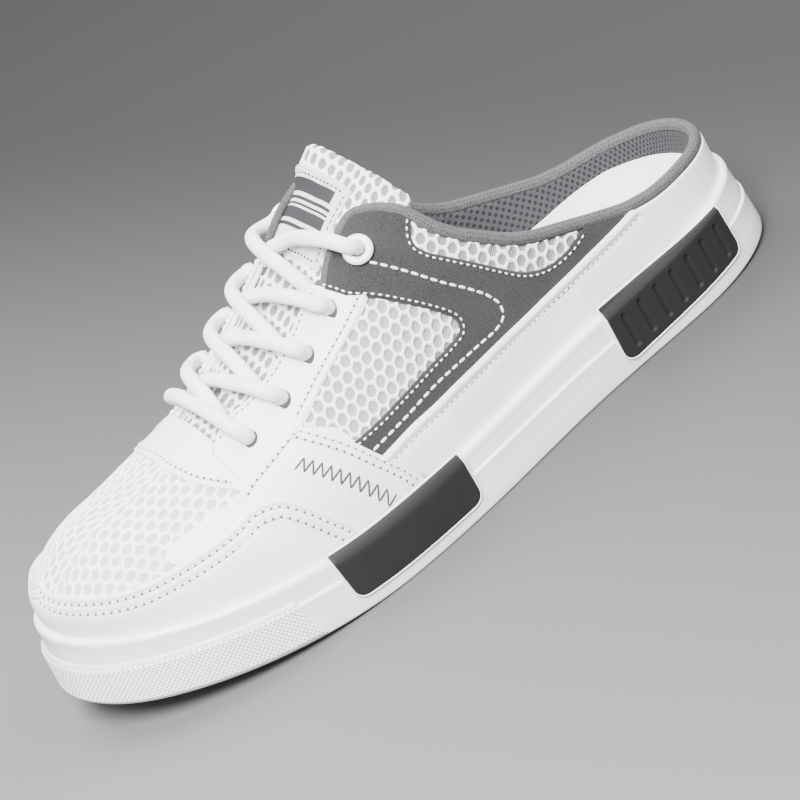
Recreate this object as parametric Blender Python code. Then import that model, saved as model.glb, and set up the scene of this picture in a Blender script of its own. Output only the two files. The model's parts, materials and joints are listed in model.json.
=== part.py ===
"""Low sneaker mule, left shoe: cup sole, hollow upper, tongue, footbed, overlays and laces.

Metres, the toe along +X, the outer side along +Y, the floor at Z 0. Every piece hangs on two
functions: the sole's outline, and the skin, which is the upper's outer face. A place on the skin
is a station (0 at the back of the heel, 1 at the tip of the toe, below 0 down the inner side)
and a rise (0 at the foot of the upper, 1 on its crown).
"""
import math

import bmesh
import bpy
import numpy as np

# Overall sizes of the shoe
SOLE_LENGTH = 0.290
BALL_WIDTH = 0.103
INSTEP_HEIGHT = 0.088
WALL_HEEL = 0.029
WALL_WAIST = 0.0225
WALL_TOE = 0.0250
TOE_SPRING = 0.013
SPRING_START = 0.64
SPRING_POWER = 1.7

# Thicknesses and clearances
FIT_GAP = 0.0003
CUP_WALL = 0.0045
HEEL_EXTRA = 0.0015
TOE_EXTRA = 0.0030
TIP_LEAN = 0.0020
OVERLAY_THICK = 0.0012
UPPER_THICK = 0.0020
TONGUE_THICK = 0.0040
FLOOR_HEEL = 0.0190
FLOOR_FORE = 0.0110
INSOLE_HEEL = 0.0100
INSOLE_FORE = 0.0050
INSOLE_CUP = 0.0070
SEAM_GAP = 0.0005
WELD = 0.00003
BINDING_WIDTH = 0.0046
BINDING_THICK = 0.0038
BINDING_SIDES = 6
SHELL_DEPTH = OVERLAY_THICK + FIT_GAP + UPPER_THICK

# Colours
WHITE = (0.80, 0.80, 0.81)
MESH_WHITE = (0.78, 0.78, 0.79)
GREY = (0.10, 0.10, 0.105)
DARK_WEAVE = (0.16, 0.16, 0.165)
CHARCOAL = (0.045, 0.045, 0.048)

# Side of the sole
EDGE_ROUND = 0.0015
LEDGE_HEIGHT = 0.0142
LEDGE_STEP = 0.0007
BAND_LEAN = 0.0003
SHOULDER_DROP = 0.0032
SHOULDER_WIDTH = 0.0014
ARCH_HEIGHT = 0.0015
REST_INSET = 0.0080

# Shares of the length that mark the throat and the ends of the crown
THROAT_SHARE = 0.727
TAB_SHARE = 0.536
THROAT_RISE = 0.80
HEEL_POLE = 0.12
TOE_POLE = 0.87
STATION_STEPS = ((0.36, 12), (0.56, 9), (THROAT_SHARE, 7), (1.00, 12))
SIDE_ROWS = 5
ROW_CROWDING = 1.3
CROWN_ROWS = 3

# Outline of the sole, from the heel up the outer side: shares of SOLE_LENGTH and BALL_WIDTH
OUTLINE = (  # along, across
    (0.000, 0.000), (0.022, 0.180), (0.085, 0.305), (0.200, 0.365), (0.340, 0.400), (0.480, 0.470),
    (0.600, 0.515), (0.710, 0.515), (0.810, 0.465), (0.900, 0.365), (0.965, 0.225), (0.998, 0.030),
    (0.985, -0.200), (0.930, -0.370), (0.840, -0.455), (0.730, -0.475), (0.620, -0.430),
    (0.500, -0.350), (0.360, -0.318), (0.210, -0.328), (0.090, -0.300), (0.022, -0.185),
)
# Crown of the upper: shares of SOLE_LENGTH, INSTEP_HEIGHT and BALL_WIDTH, two powers for the
# shape of the section, and how far the flank swells, as a share of CUP_WALL
CROWN = (  # along, height, across, top, flank, swell
    (0.00, 1.26, 0.000, 1.00, 0.95, 0.40),
    (0.10, 1.26, 0.000, 1.00, 0.95, 0.15),
    (0.33, 1.31, 0.000, 0.95, 0.90, 0.00),
    (0.41, 1.24, -0.010, 0.90, 0.88, 0.00),
    (0.48, 1.145, -0.020, 0.86, 0.86, 0.00),
    (0.54, 1.000, -0.025, 0.85, 0.85, 0.00),
    (0.59, 0.910, -0.028, 0.85, 0.85, 0.00),
    (0.64, 0.840, -0.030, 0.85, 0.85, 0.09),
    (0.70, 0.775, -0.030, 0.85, 0.85, 0.18),
    (0.78, 0.725, -0.030, 0.85, 0.86, 0.27),
    (0.87, 0.695, -0.028, 0.85, 0.90, 0.45),
    (1.00, 0.695, -0.025, 0.85, 0.90, 1.00),
)
# Height of the collar's cut edge, share of INSTEP_HEIGHT
RIM = (  # along, height
    (0.000, 0.465), (0.044, 0.466), (0.092, 0.472), (0.136, 0.478), (0.180, 0.502), (0.220, 0.548),
    (0.249, 0.586), (0.277, 0.624), (0.305, 0.662), (0.332, 0.717), (0.359, 0.792), (0.383, 0.866),
    (0.401, 0.942), (0.411, 1.000), (0.420, 1.048), (0.442, 1.085), (0.460, 1.090), (0.480, 1.065),
    (0.495, 1.036), (0.514, 0.995), (0.533, 0.950), (0.600, 0.850),
)
# Inner side of the instep, which stands out and up beyond the outer one: share of BALL_WIDTH
INSTEP_SHOULDER = (  # along, fullness
    (0.30, 0.000), (0.38, 0.050), (0.44, 0.085), (0.52, 0.088), (0.58, 0.070), (0.64, 0.035),
    (0.72, 0.000),
)
SHOULDER_OUT = 0.92
SHOULDER_UP = 0.38
SHOULDER_RISE = 2.4
SHOULDER_SHARP = 1.5
# Tongue: shares of SOLE_LENGTH, half widths as hoop shares, depth of its face under the skin, and how
# far its inner half flares off the foot
TONGUE = (  # along, outer, inner, depth, flare
    (0.405, 0.33, 0.36, 0.0046, 0.0012),
    (0.430, 0.34, 0.36, 0.0046, 0.0000),
    (0.450, 0.34, 0.35, 0.0044, 0.0000),
    (0.500, 0.32, 0.34, 0.0044, 0.0000),
    (0.600, 0.30, 0.30, 0.0040, 0.0000),
    (0.700, 0.30, 0.30, 0.0040, 0.0000),
    (0.775, 0.28, 0.28, 0.0042, 0.0000),
)
TONGUE_FLARE_FROM = 0.10
TONGUE_FLARE_OVER = 0.40
TONGUE_FLARE_POWER = 0.8
TONGUE_EDGE_THIN = 0.55
TONGUE_COLUMNS = 12
TONGUE_ROWS = 9
# Overlays cut from the layer between the skin and OVERLAY_THICK under it. Each outline is drawn
# from the side: shares of SOLE_LENGTH and INSTEP_HEIGHT
GUARD_TOP = (  # along, height
    (0.663, 0.268), (0.683, 0.377), (0.702, 0.474), (0.716, 0.518), (0.731, 0.535), (0.749, 0.540),
    (0.778, 0.522), (0.817, 0.513), (0.854, 0.511), (0.888, 0.515), (0.917, 0.531), (0.937, 0.549),
    (0.951, 0.565), (0.962, 0.590), (1.050, 0.620),
)
STRAP_REAR = (  # along, height
    (0.570, 0.254), (0.582, 0.345), (0.599, 0.436), (0.617, 0.538), (0.637, 0.618), (0.654, 0.677),
)
STRAP_FRONT = (  # along, height
    (0.676, 0.659), (0.703, 0.636), (0.733, 0.611), (0.748, 0.591), (0.763, 0.584), (0.797, 0.584),
    (0.837, 0.573), (0.852, 0.555), (0.854, 0.511),
)
SEAM = ((0.537, 0.985), (0.528, 0.951), (0.518, 0.915), (0.506, 0.881))  # along, height
WINDOW_FRONT = ((0.541, 0.820), (0.570, 0.776), (0.604, 0.725), (0.645, 0.667))  # along, height
WINDOW_REAR = (  # along, height
    (0.482, 0.811), (0.458, 0.728), (0.442, 0.661), (0.438, 0.624), (0.443, 0.592), (0.462, 0.581),
    (0.494, 0.569), (0.544, 0.549), (0.577, 0.532), (0.613, 0.515),
)
QUARTER_TOP = (  # along, height
    (0.596, 0.430), (0.553, 0.446), (0.505, 0.453), (0.405, 0.463), (0.305, 0.475), (0.255, 0.487),
    (0.216, 0.499), (0.182, 0.512), (0.172, 0.560),
)
COLLAR_WINDOW = (  # along, height
    (0.240, 0.620), (0.247, 0.576), (0.268, 0.555), (0.290, 0.546), (0.313, 0.556), (0.336, 0.596),
    (0.355, 0.656), (0.377, 0.734), (0.402, 0.819), (0.423, 0.894), (0.428, 0.937), (0.423, 0.970),
    (0.408, 1.020),
)
# Throat band seen from above: share of SOLE_LENGTH, distance from the crown as share of BALL_WIDTH
BAND_FRONT = ((0.783, 0.00), (0.7825, 0.127), (0.775, 0.239), (0.760, 0.308), (0.741, 0.344))
CREASE = ((0.7355, 0.628), (0.7355, 0.712), (0.722, 0.740))  # along, height
BAND_REAR = (0.700, 0.344)  # along, across
CROWN_ACROSS = -0.028
FAR_BELOW, FAR_ABOVE = -0.20, 1.30
# Blocks let into the sole's side: shares of SOLE_LENGTH for both ends, bottom edge, slots
BLOCKS = (  # name, rear, front, low, slots
    ("block_fore", 0.527, 0.710, 0.0055, 0),
    ("block_heel", 0.083, 0.284, 0.0052, 7),
)
BLOCK_PROUD = 0.0012
BLOCK_LIP = 0.0022
BLOCK_ROUND = 0.0040
SLOT_WIDTH = 0.0018
SLOT_DEEP = 0.0006
SLOT_ENDS = (0.0085, 0.0195)
BLOCK_STEPS = (0.0, 0.03, 0.12, 0.31, 0.50, 0.69, 0.88, 0.97, 1.0)
BUMPER_REAR = (0.757, 0.772)
BUMPER_HEIGHTS = (0.0010, 0.0160)
BUMPER_PROUD = 0.0009
BUMPER_STEPS = 24

# Lace holes of one side: shares of SOLE_LENGTH and rises, the last one is the ring's
HOLES = (  # along, rise, where the lace comes up beside the throat
    (0.700, 0.668, 0.125), (0.646, 0.664, 0.125), (0.595, 0.676, 0.125), (0.545, 0.680, 0.090),
    (0.481, 0.645, 0.000),
)
LACE_THICK = 0.0044
LACE_SIDES = 6
RING_OUTER = 0.0052
RING_HOLE = 0.0025
RING_THICK = 0.0018
RING_SIDES = 12
LACE_SHIFT = 0.016
RING_CLEAR_FROM = 0.18
LACE_RUN = (  # part of the way, share of the starting edge, share of the hole's distance, depth
    (0.00, 1.00, 0.00, 0.0010), (0.20, 0.60, 0.00, -0.0004), (0.38, 0.00, 0.06, -0.0014),
    (0.55, 0.00, 0.38, -0.0022), (0.72, 0.00, 0.66, -0.0027), (0.88, 0.00, 0.88, -0.0027),
    (1.00, 0.00, 1.00, -0.0025),
)
LABEL_SHARES = (0.437, 0.503)
LABEL_ACROSS = (-0.215, 0.130)
LABEL_THICK = 0.0007


def smooth_table(table, x, column):
    """Value of one column at x, on a curve through the rows that never overshoots them."""
    rows = np.array(table, float)
    knots, values = rows[:, 0], rows[:, column]
    step = np.diff(knots)
    slope = np.diff(values) / step
    tangent = np.concatenate([slope[:1], np.zeros(len(knots) - 2), slope[-1:]])
    for i in range(1, len(knots) - 1):
        before, after = slope[i - 1], slope[i]
        if before * after > 0:
            tangent[i] = 2 * before * after / (before + after)
    x = np.clip(x, knots[0], knots[-1])
    i = np.clip(np.searchsorted(knots, x, side="right") - 1, 0, len(knots) - 2)
    t = (x - knots[i]) / step[i]
    return ((2 * t ** 3 - 3 * t ** 2 + 1) * values[i] + (t ** 3 - 2 * t ** 2 + t) * step[i] * tangent[i]
            + (3 * t ** 2 - 2 * t ** 3) * values[i + 1] + (t ** 3 - t ** 2) * step[i] * tangent[i + 1])


def closed_curve(points, count):
    """Smooth closed curve through the points, as count places along it."""
    p = np.array(points, float)
    chord = np.roll(p, -1, 0) - p
    length = np.hypot(chord[:, 0], chord[:, 1])
    n = len(p)
    system, right = np.zeros((n, n)), np.zeros((n, 2))
    for i in range(n):
        system[i, i - 1] = length[i - 1]
        system[i, i] = 2 * (length[i - 1] + length[i])
        system[i, (i + 1) % n] = length[i]
        right[i] = 6 * (chord[i] / length[i] - chord[i - 1] / length[i - 1])
    bend = np.linalg.solve(system, right)
    knots = np.concatenate([[0], np.cumsum(length)])
    s = np.linspace(0, knots[-1], count, endpoint=False)
    i = np.clip(np.searchsorted(knots, s, side="right") - 1, 0, n - 1)
    j = (i + 1) % n
    a, b, h = (knots[i + 1] - s)[:, None], (s - knots[i])[:, None], length[i][:, None]
    return ((bend[i] * a ** 3 + bend[j] * b ** 3) / (6 * h) + (p[i] / h - bend[i] * h / 6) * a
            + (p[j] / h - bend[j] * h / 6) * b)


def trace_outline():
    """Dense outline in metres with its outward directions, split into the outer and inner side."""
    p = closed_curve(np.array(OUTLINE) * [SOLE_LENGTH, BALL_WIDTH], 2400)
    p = np.roll(p, -int(p[:, 0].argmin()), 0)
    along = np.roll(p, -1, 0) - np.roll(p, 1, 0)
    along /= np.linalg.norm(along, axis=1)[:, None]
    out = np.stack([-along[:, 1], along[:, 0]], 1)
    tip = int(p[:, 0].argmax())
    start, end = p[0, 0], p[tip, 0]
    share = np.clip((p[:, 0] - start) / (end - start), 0, 1)
    station = np.arccos(1 - 2 * share) / math.pi
    rows = np.column_stack([station, p, out])
    outer = rows[:tip + 1]
    inner = np.concatenate([rows[tip:], rows[:1]])[::-1]
    return outer, inner


OUTER, INNER = trace_outline()


def wrap(station):
    """Station brought into the range from -1 to 1."""
    return (np.asarray(station, float) + 1) % 2 - 1


def share_of(station):
    """Share of the sole's length at a station."""
    return (1 - np.cos(math.pi * wrap(station))) / 2


def station_of(share):
    """Station on the outer side at a share of the sole's length."""
    return np.arccos(1 - 2 * np.clip(share, 0, 1)) / math.pi


def edge_at(station):
    """Points of the sole's outline and their outward directions."""
    s = wrap(station)
    pick = lambda col: np.where(s >= 0, np.interp(abs(s), OUTER[:, 0], OUTER[:, col]),
                                np.interp(abs(s), INNER[:, 0], INNER[:, col]))
    out = np.stack([pick(3), pick(4)], -1)
    return np.stack([pick(1), pick(2)], -1), out / np.linalg.norm(out, axis=-1)[..., None]


def tip_share(station):
    """0 along the sides, 1 at the very tip of the heel and of the toe."""
    return abs(2 * share_of(station) - 1) ** 6


def spring(share):
    """Height of the sole's bottom edge above the floor."""
    return TOE_SPRING * (np.clip(share - SPRING_START, 0, 1) / (1 - SPRING_START)) ** SPRING_POWER


def wall_height(share):
    """Height of the sole's side above its own bottom edge."""
    return (WALL_HEEL * (1 - share) * (1 - 2 * share) + 4 * WALL_WAIST * share * (1 - share)
            + WALL_TOE * share * (2 * share - 1))


def floor_height(share):
    """Height of the cup's floor."""
    t = np.clip((share - 0.30) / 0.35, 0, 1)
    return FLOOR_HEEL + (FLOOR_FORE - FLOOR_HEEL) * t * t * (3 - 2 * t) + spring(share)


def crown_at(share):
    """Crown's place and section at a share of the length."""
    k = np.clip(share, HEEL_POLE, TOE_POLE)
    xyz = np.stack([k * SOLE_LENGTH, smooth_table(CROWN, k, 2) * BALL_WIDTH,
                    smooth_table(CROWN, k, 1) * INSTEP_HEIGHT], -1)
    return xyz, smooth_table(CROWN, share, 3), smooth_table(CROWN, share, 4), smooth_table(CROWN, share, 5)


def skin_face(station, rise):
    """Points of the skin."""
    share = share_of(station)
    foot, out = edge_at(station)
    extra = np.where(share < 0.5, HEEL_EXTRA, TOE_EXTRA) * tip_share(station)
    foot = foot - out * (CUP_WALL + extra)[..., None]
    crown, top, flank, swell = crown_at(share)
    base = floor_height(share)
    turn = np.clip(rise, 0, 1) * math.pi / 2
    reach = 1 - np.cos(turn) ** top
    climb = np.sin(turn) ** flank
    puff = swell * CUP_WALL * np.sin(math.pi * np.clip(turn / 1.2, 0, 1)) ** 2
    flat = foot + (crown[..., :2] - foot) * reach[..., None] + out * puff[..., None]
    full = smooth_table(INSTEP_SHOULDER, share, 1) * BALL_WIDTH * (wrap(station) < 0)
    full = full * np.sin(math.pi * np.clip(rise, 0, 1) ** SHOULDER_RISE) ** SHOULDER_SHARP
    flat[..., 1] -= full * SHOULDER_OUT
    level = base + (crown[..., 2] - base) * climb + full * SHOULDER_UP
    return np.concatenate([flat, level[..., None]], -1)


def skin(station, rise, depth=0.0):
    """Points under the skin by depth, or over it where depth is negative."""
    station, rise = np.broadcast_arrays(np.asarray(station, float), np.asarray(rise, float))
    depth = np.asarray(depth, float)
    ds, dv = 0.004, 0.01
    low, high = np.clip(rise - dv, 0.001, 0.985), np.clip(rise + dv, 0.021, 0.995)
    side = skin_face(station + ds, rise) - skin_face(station - ds, rise)
    up = skin_face(station, high) - skin_face(station, low)
    normal = np.cross(up, side)
    share = share_of(station)
    slope = crown_at(np.clip(share, 0, TOE_POLE) + 0.01)[0] - crown_at(np.clip(share, 0, TOE_POLE) - 0.01)[0]
    flat = np.stack([-slope[..., 2], np.zeros_like(share), slope[..., 0]], -1)
    flat[np.abs(flat).sum(-1) < 1e-9] = (0, 0, 1)
    size = np.linalg.norm(normal, axis=-1)[..., None]
    normal = np.where(size > 1e-12, normal / np.maximum(size, 1e-12), (0, 0, 1))
    flat /= np.linalg.norm(flat, axis=-1)[..., None]
    near = (np.clip((rise - 0.90) / 0.10, 0, 1) ** 2)[..., None]
    normal = normal * (1 - near) + flat * near
    normal /= np.linalg.norm(normal, axis=-1)[..., None]
    return skin_face(station, rise) - normal * depth[..., None]


def rise_at(station, height):
    """Rise at which the skin reaches a height."""
    share = share_of(station)
    crown, top, flank, swell = crown_at(share)
    base = floor_height(share)
    part = np.clip((height - base) / (crown[..., 2] - base), 0, 1)
    return np.arcsin(part ** (1 / flank)) * 2 / math.pi


def stations():
    """Stations from the heel to the toe, closer together round the tab."""
    out, start = [0.0], 0.0
    for share, steps in STATION_STEPS:
        end = float(station_of(share))
        out += [start + (end - start) * (i + 1) / steps for i in range(steps)]
        start = end
    return np.array(out)


def rim_rise(station):
    """Rise of the upper's cut edge along the collar, round the tab and down the throat."""
    share = share_of(station)
    collar = rise_at(station, smooth_table(RIM, share, 1) * INSTEP_HEIGHT)
    return np.where(share < TAB_SHARE, np.minimum(collar, THROAT_RISE), THROAT_RISE)


def new_piece(name, colour, roughness):
    """Empty object in the shoe's collection with a material of its own."""
    mesh = bpy.data.meshes.new(name)
    piece = bpy.data.objects.new(name, mesh)
    SHOE.objects.link(piece)
    material = bpy.data.materials.new(name)
    material.use_nodes = True
    shader = material.node_tree.nodes["Principled BSDF"]
    shader.inputs["Base Color"].default_value = (*colour, 1)
    shader.inputs["Roughness"].default_value = roughness
    mesh.materials.append(material)
    return piece


def fill_piece(piece, points, faces):
    """Put welded points and faces into the piece and turn its faces outwards."""
    bm = bmesh.new()
    verts = [bm.verts.new((p[0] - MIDDLE[0], p[1] - MIDDLE[1], p[2])) for p in points]
    for face in faces:
        if len(set(face)) > 2:
            bm.faces.new([verts[i] for i in face])
    bmesh.ops.remove_doubles(bm, verts=bm.verts, dist=0.00002)
    bmesh.ops.dissolve_degenerate(bm, edges=bm.edges, dist=0.00001)
    bmesh.ops.triangulate(bm, faces=[f for f in bm.faces if len(f.verts) > 4])
    bmesh.ops.recalc_face_normals(bm, faces=bm.faces)
    if bm.calc_volume(signed=True) < 0:
        bmesh.ops.reverse_faces(bm, faces=bm.faces)
    bm.to_mesh(piece.data)
    bm.free()
    return piece


def grid_faces(rows, columns, looped=False):
    """Four-sided faces of a grid of points numbered row by row."""
    wide = columns if looped else columns - 1
    return [(i * columns + j, i * columns + (j + 1) % columns, (i + 1) * columns + (j + 1) % columns,
             (i + 1) * columns + j) for i in range(rows - 1) for j in range(wide)]


def thicken(piece, top, bottom, faces):
    """Closed solid between two sheets that share their faces."""
    count = len(top)
    faces = [part for f in faces for part in ((f[:3], (f[0],) + f[2:]) if len(f) > 3 else (f,))]
    edges = {}
    for face in faces:
        for a, b in zip(face, face[1:] + face[:1]):
            if a != b:
                edges[(a, b)] = edges.get((a, b), 0) + 1
    walls = [(a, b, b + count, a + count) for (a, b), n in edges.items() if (b, a) not in edges]
    under = [tuple(i + count for i in reversed(face)) for face in faces]
    return fill_piece(piece, np.concatenate([top, bottom]), list(faces) + under + walls)


def shell_faces():
    """Stations, rises and faces of the upper's sheet, welded where the two sides meet."""
    side = stations()
    loop = np.concatenate([side, -side[-2:0:-1]])
    count = len(loop)
    share = share_of(loop)
    low = rise_at(loop, spring(share) + wall_height(share))
    edge = rim_rise(loop)
    rows = [rise_at(loop, floor_height(share) + FIT_GAP)]
    rows += [low + (edge - low) * (1 - (1 - i / SIDE_ROWS) ** ROW_CROWDING) for i in range(SIDE_ROWS + 1)]
    rows += [THROAT_RISE + (1 - THROAT_RISE) * np.full(count, (i + 1) / CROWN_ROWS)
             for i in range(CROWN_ROWS)]
    points_s, points_v = np.tile(loop, (len(rows), 1)), np.array(rows)
    faces = grid_faces(SIDE_ROWS + 2, count, looped=True)
    closed = share >= THROAT_SHARE - 1e-6
    for i in range(SIDE_ROWS + 1, SIDE_ROWS + 1 + CROWN_ROWS):
        for j in range(count):
            k = (j + 1) % count
            if closed[j] and closed[k]:
                faces.append((i * count + j, i * count + k, (i + 1) * count + k, (i + 1) * count + j))
    last = (len(rows) - 1) * count
    pole = int(np.argmax(share_of(side) >= TOE_POLE))
    same = {last + j: last + min(j, count - j, pole) for j in range(count) if j}
    welded = []
    for face in faces:
        loop = [same.get(i, i) for i in face]
        welded.append(tuple(a for n, a in enumerate(loop) if a != loop[n - 1]))
    used = sorted({i for face in welded for i in face})
    place = {i: n for n, i in enumerate(used)}
    faces = [tuple(place[i] for i in face) for face in welded]
    return points_s.ravel()[used], points_v.ravel()[used], faces


def build_shell(name, depth_top, depth_bottom, colour, roughness):
    """Solid layer of the upper between two depths under the skin."""
    s, v, faces = shell_faces()
    top, bottom = skin(s, v, np.full(s.shape, depth_top)), skin(s, v, np.full(s.shape, depth_bottom))
    return thicken(new_piece(name, colour, roughness), top, bottom, faces)


def centre_line(share):
    """Middle line of the sole at a share of its length, between the two poles."""
    k = np.clip(share, HEEL_POLE, TOE_POLE)
    s = station_of(k)
    middle = (edge_at(s)[0] + edge_at(-s)[0]) / 2
    return middle


def build_outsole():
    """Cup sole: side with its ledge and rounded shoulder, cup inside, two flat rests below."""
    side = stations()
    loop = np.concatenate([side, -side[-2:0:-1]])
    share = share_of(loop)
    edge, out = edge_at(loop)
    tip = tip_share(loop)
    base, tall = spring(share), wall_height(share)
    lean = BAND_LEAN + TIP_LEAN * tip
    middle = centre_line(share)
    inner_rest = edge - out * REST_INSET
    arch = ARCH_HEIGHT * np.clip(1 - ((share - 0.45) / 0.12) ** 2, 0, 1)
    rings = [np.column_stack([middle, base * 0 + spring(np.clip(share, HEEL_POLE, TOE_POLE)) + arch]),
             np.column_stack([inner_rest, base]),
             np.column_stack([edge - out * EDGE_ROUND, base])]
    profile = (
        (0 * lean, EDGE_ROUND + 0 * tall),
        (lean * 0.5, LEDGE_HEIGHT + 0 * tall),
        (lean * 0.5 + LEDGE_STEP, LEDGE_HEIGHT + LEDGE_STEP / 2 + 0 * tall),
        (lean + LEDGE_STEP, tall - SHOULDER_DROP),
        (lean + LEDGE_STEP + SHOULDER_WIDTH * 0.35, tall - SHOULDER_DROP * 0.45),
        (lean + LEDGE_STEP + SHOULDER_WIDTH, tall),
    )
    for inset, height in profile:
        rings.append(np.column_stack([edge - out * inset[:, None], base + height]))
    top = rise_at(loop, base + tall)
    for part, level in ((1.0, base + tall), (0.0, floor_height(share))):
        ring = skin(loop, top * part, np.full(loop.shape, -FIT_GAP))
        ring[:, 2] = level
        rings.append(ring)
    rings.append(np.column_stack([middle, floor_height(np.clip(share, HEEL_POLE, TOE_POLE))]))
    points = np.concatenate(rings)
    return fill_piece(new_piece("outsole", WHITE, 0.35), points,
                      grid_faces(len(rings), len(loop), looped=True))


def build_insole():
    """Footbed with a cupped edge, inside the upper and on the cup's floor."""
    side = stations()[::2]
    if abs(side[-1] - 1) > 1e-9:
        side = np.append(side, 1.0)
    loop = np.concatenate([side, -side[-2:0:-1]])
    share = share_of(loop)
    deep = OVERLAY_THICK + UPPER_THICK + 3 * FIT_GAP
    floor = floor_height(share) + FIT_GAP
    t = np.clip((share - 0.15) / 0.45, 0, 1)
    blend = t * t * (3 - 2 * t)
    thick = INSOLE_HEEL + (INSOLE_FORE - INSOLE_HEEL) * blend
    back = np.clip(1 - share / 0.10, 0, 1)
    lip = INSOLE_CUP * (1 - 0.75 * blend) * (1 - 0.5 * back)
    edge_z = floor + thick + lip
    middle = centre_line(share)
    pole = np.clip(share, HEEL_POLE, TOE_POLE)
    floor_mid = floor_height(pole) + FIT_GAP
    t = np.clip((pole - 0.15) / 0.45, 0, 1)
    thick_mid = INSOLE_HEEL + (INSOLE_FORE - INSOLE_HEEL) * t * t * (3 - 2 * t)
    low = skin(loop, rise_at(loop, floor), np.full(loop.shape, deep))
    high = skin(loop, rise_at(loop, edge_z), np.full(loop.shape, deep))
    low[:, 2], high[:, 2] = floor, edge_z
    near = high + (np.column_stack([middle, edge_z]) - high) * 0.10
    inner = high + (np.column_stack([middle, edge_z]) - high) * 0.45
    near[:, 2] = edge_z - lip * 0.25
    inner[:, 2] = floor + thick + lip * 0.10
    rings = [np.column_stack([middle, floor_mid]), low, high, near, inner,
             np.column_stack([middle, floor_mid + thick_mid])]
    return fill_piece(new_piece("insole", MESH_WHITE, 0.8), np.concatenate(rings),
                      grid_faces(len(rings), len(loop), looped=True))


def hoop(share, across):
    """Station and rise of a place over the instep: across is 1 at the outer foot, 0 on the crown."""
    across = np.asarray(across, float)
    s = station_of(share)
    return np.where(across >= 0, s, -s), 1 - abs(across)


def tongue_depth(share, across):
    """Depth of the tongue's face under the skin, less where its inner half flares off the foot."""
    far = np.clip((TONGUE_FLARE_FROM - across) / TONGUE_FLARE_OVER, 0, 1) ** TONGUE_FLARE_POWER
    return smooth_table(TONGUE, share, 3) - smooth_table(TONGUE, share, 4) * far


def build_tongue():
    """Padded tongue under the eyestays, up past the tabs."""
    share = np.linspace(TONGUE[0][0], TONGUE[-1][0], TONGUE_COLUMNS)
    across = np.linspace(-1, 1, TONGUE_ROWS)
    outer, inner = smooth_table(TONGUE, share, 1), smooth_table(TONGUE, share, 2)
    h = np.where(across[None, :] >= 0, across[None, :] * outer[:, None], across[None, :] * inner[:, None])
    k = np.broadcast_to(share[:, None], h.shape)
    s, v = hoop(k, h)
    depth = tongue_depth(k, h)
    rim = 1 - TONGUE_EDGE_THIN * abs(across[None, :]) ** 4
    thick = TONGUE_THICK * np.broadcast_to(rim, h.shape)
    top = skin(s, v, depth).reshape(-1, 3)
    bottom = skin(s, v, depth + thick).reshape(-1, 3)
    return thicken(new_piece("tongue", WHITE, 0.9), top, bottom,
                   grid_faces(TONGUE_COLUMNS, TONGUE_ROWS))


def inset_outline(points, distance):
    """Outline moved inwards by a distance, corner by corner."""
    p = np.array(points, float)
    if np.sum(p[:, 0] * np.roll(p[:, 1], -1) - p[:, 1] * np.roll(p[:, 0], -1)) < 0:
        p = p[::-1]
    before, after = p - np.roll(p, 1, 0), np.roll(p, -1, 0) - p
    turn = lambda e: np.stack([-e[:, 1], e[:, 0]], 1) / np.linalg.norm(e, axis=1)[:, None]
    a, b = turn(before), turn(after)
    half = a + b
    half /= np.maximum(np.sum(half * a, axis=1), 0.5)[:, None]
    return p + half * distance


def prism(name, outline, low, high, upright=False):
    """Closed cutter over an outline: across the shoe, or upright where it is drawn from above."""
    piece = bpy.data.objects.new(name, bpy.data.meshes.new(name))
    CUTTERS.objects.link(piece)
    piece.hide_render = True
    piece.display_type = "WIRE"
    n = len(outline)
    place = (lambda p, t: (p[0], p[1], t)) if upright else (lambda p, t: (p[0], t, p[1]))
    points = [place(p, t) for t in (low, high) for p in outline]
    faces = [tuple(range(n)), tuple(range(2 * n - 1, n - 1, -1))]
    faces += [(i, i + n, (i + 1) % n + n, (i + 1) % n) for i in range(n)]
    bm = bmesh.new()
    verts = [bm.verts.new((p[0] - MIDDLE[0], p[1] - MIDDLE[1], p[2])) for p in points]
    for face in faces:
        bm.faces.new([verts[i] for i in face])
    bmesh.ops.recalc_face_normals(bm, faces=bm.faces)
    bm.to_mesh(piece.data)
    bm.free()
    return piece


def cut(piece, tool, operation):
    """Cut a piece by another or join them, and weld what the cut leaves closer than a hair."""
    step = piece.modifiers.new(operation.lower(), "BOOLEAN")
    step.operation, step.solver, step.object = operation, "EXACT", tool
    seen = piece.evaluated_get(bpy.context.evaluated_depsgraph_get())
    bm = bmesh.new()
    bm.from_mesh(seen.to_mesh())
    seen.to_mesh_clear()
    piece.modifiers.clear()
    bmesh.ops.triangulate(bm, faces=bm.faces)
    bmesh.ops.remove_doubles(bm, verts=bm.verts, dist=WELD)
    bmesh.ops.dissolve_degenerate(bm, edges=bm.edges, dist=WELD)
    bmesh.ops.triangulate(bm, faces=bm.faces)
    bm.to_mesh(piece.data)
    bm.free()


def overlay(name, outline, low, high, colour, roughness, upright=False):
    """Overlay: the skin's layer inside an outline, kept half a clearance inside its edge."""
    wide = BALL_WIDTH if upright else INSTEP_HEIGHT
    drawn = inset_outline(np.array(outline) * [SOLE_LENGTH, wide], SEAM_GAP / 2)
    piece = build_shell(name, 0.0, OVERLAY_THICK, colour, roughness)
    cut(piece, prism(name + "_outline", drawn, low, high, upright), "INTERSECT")
    return piece


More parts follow.
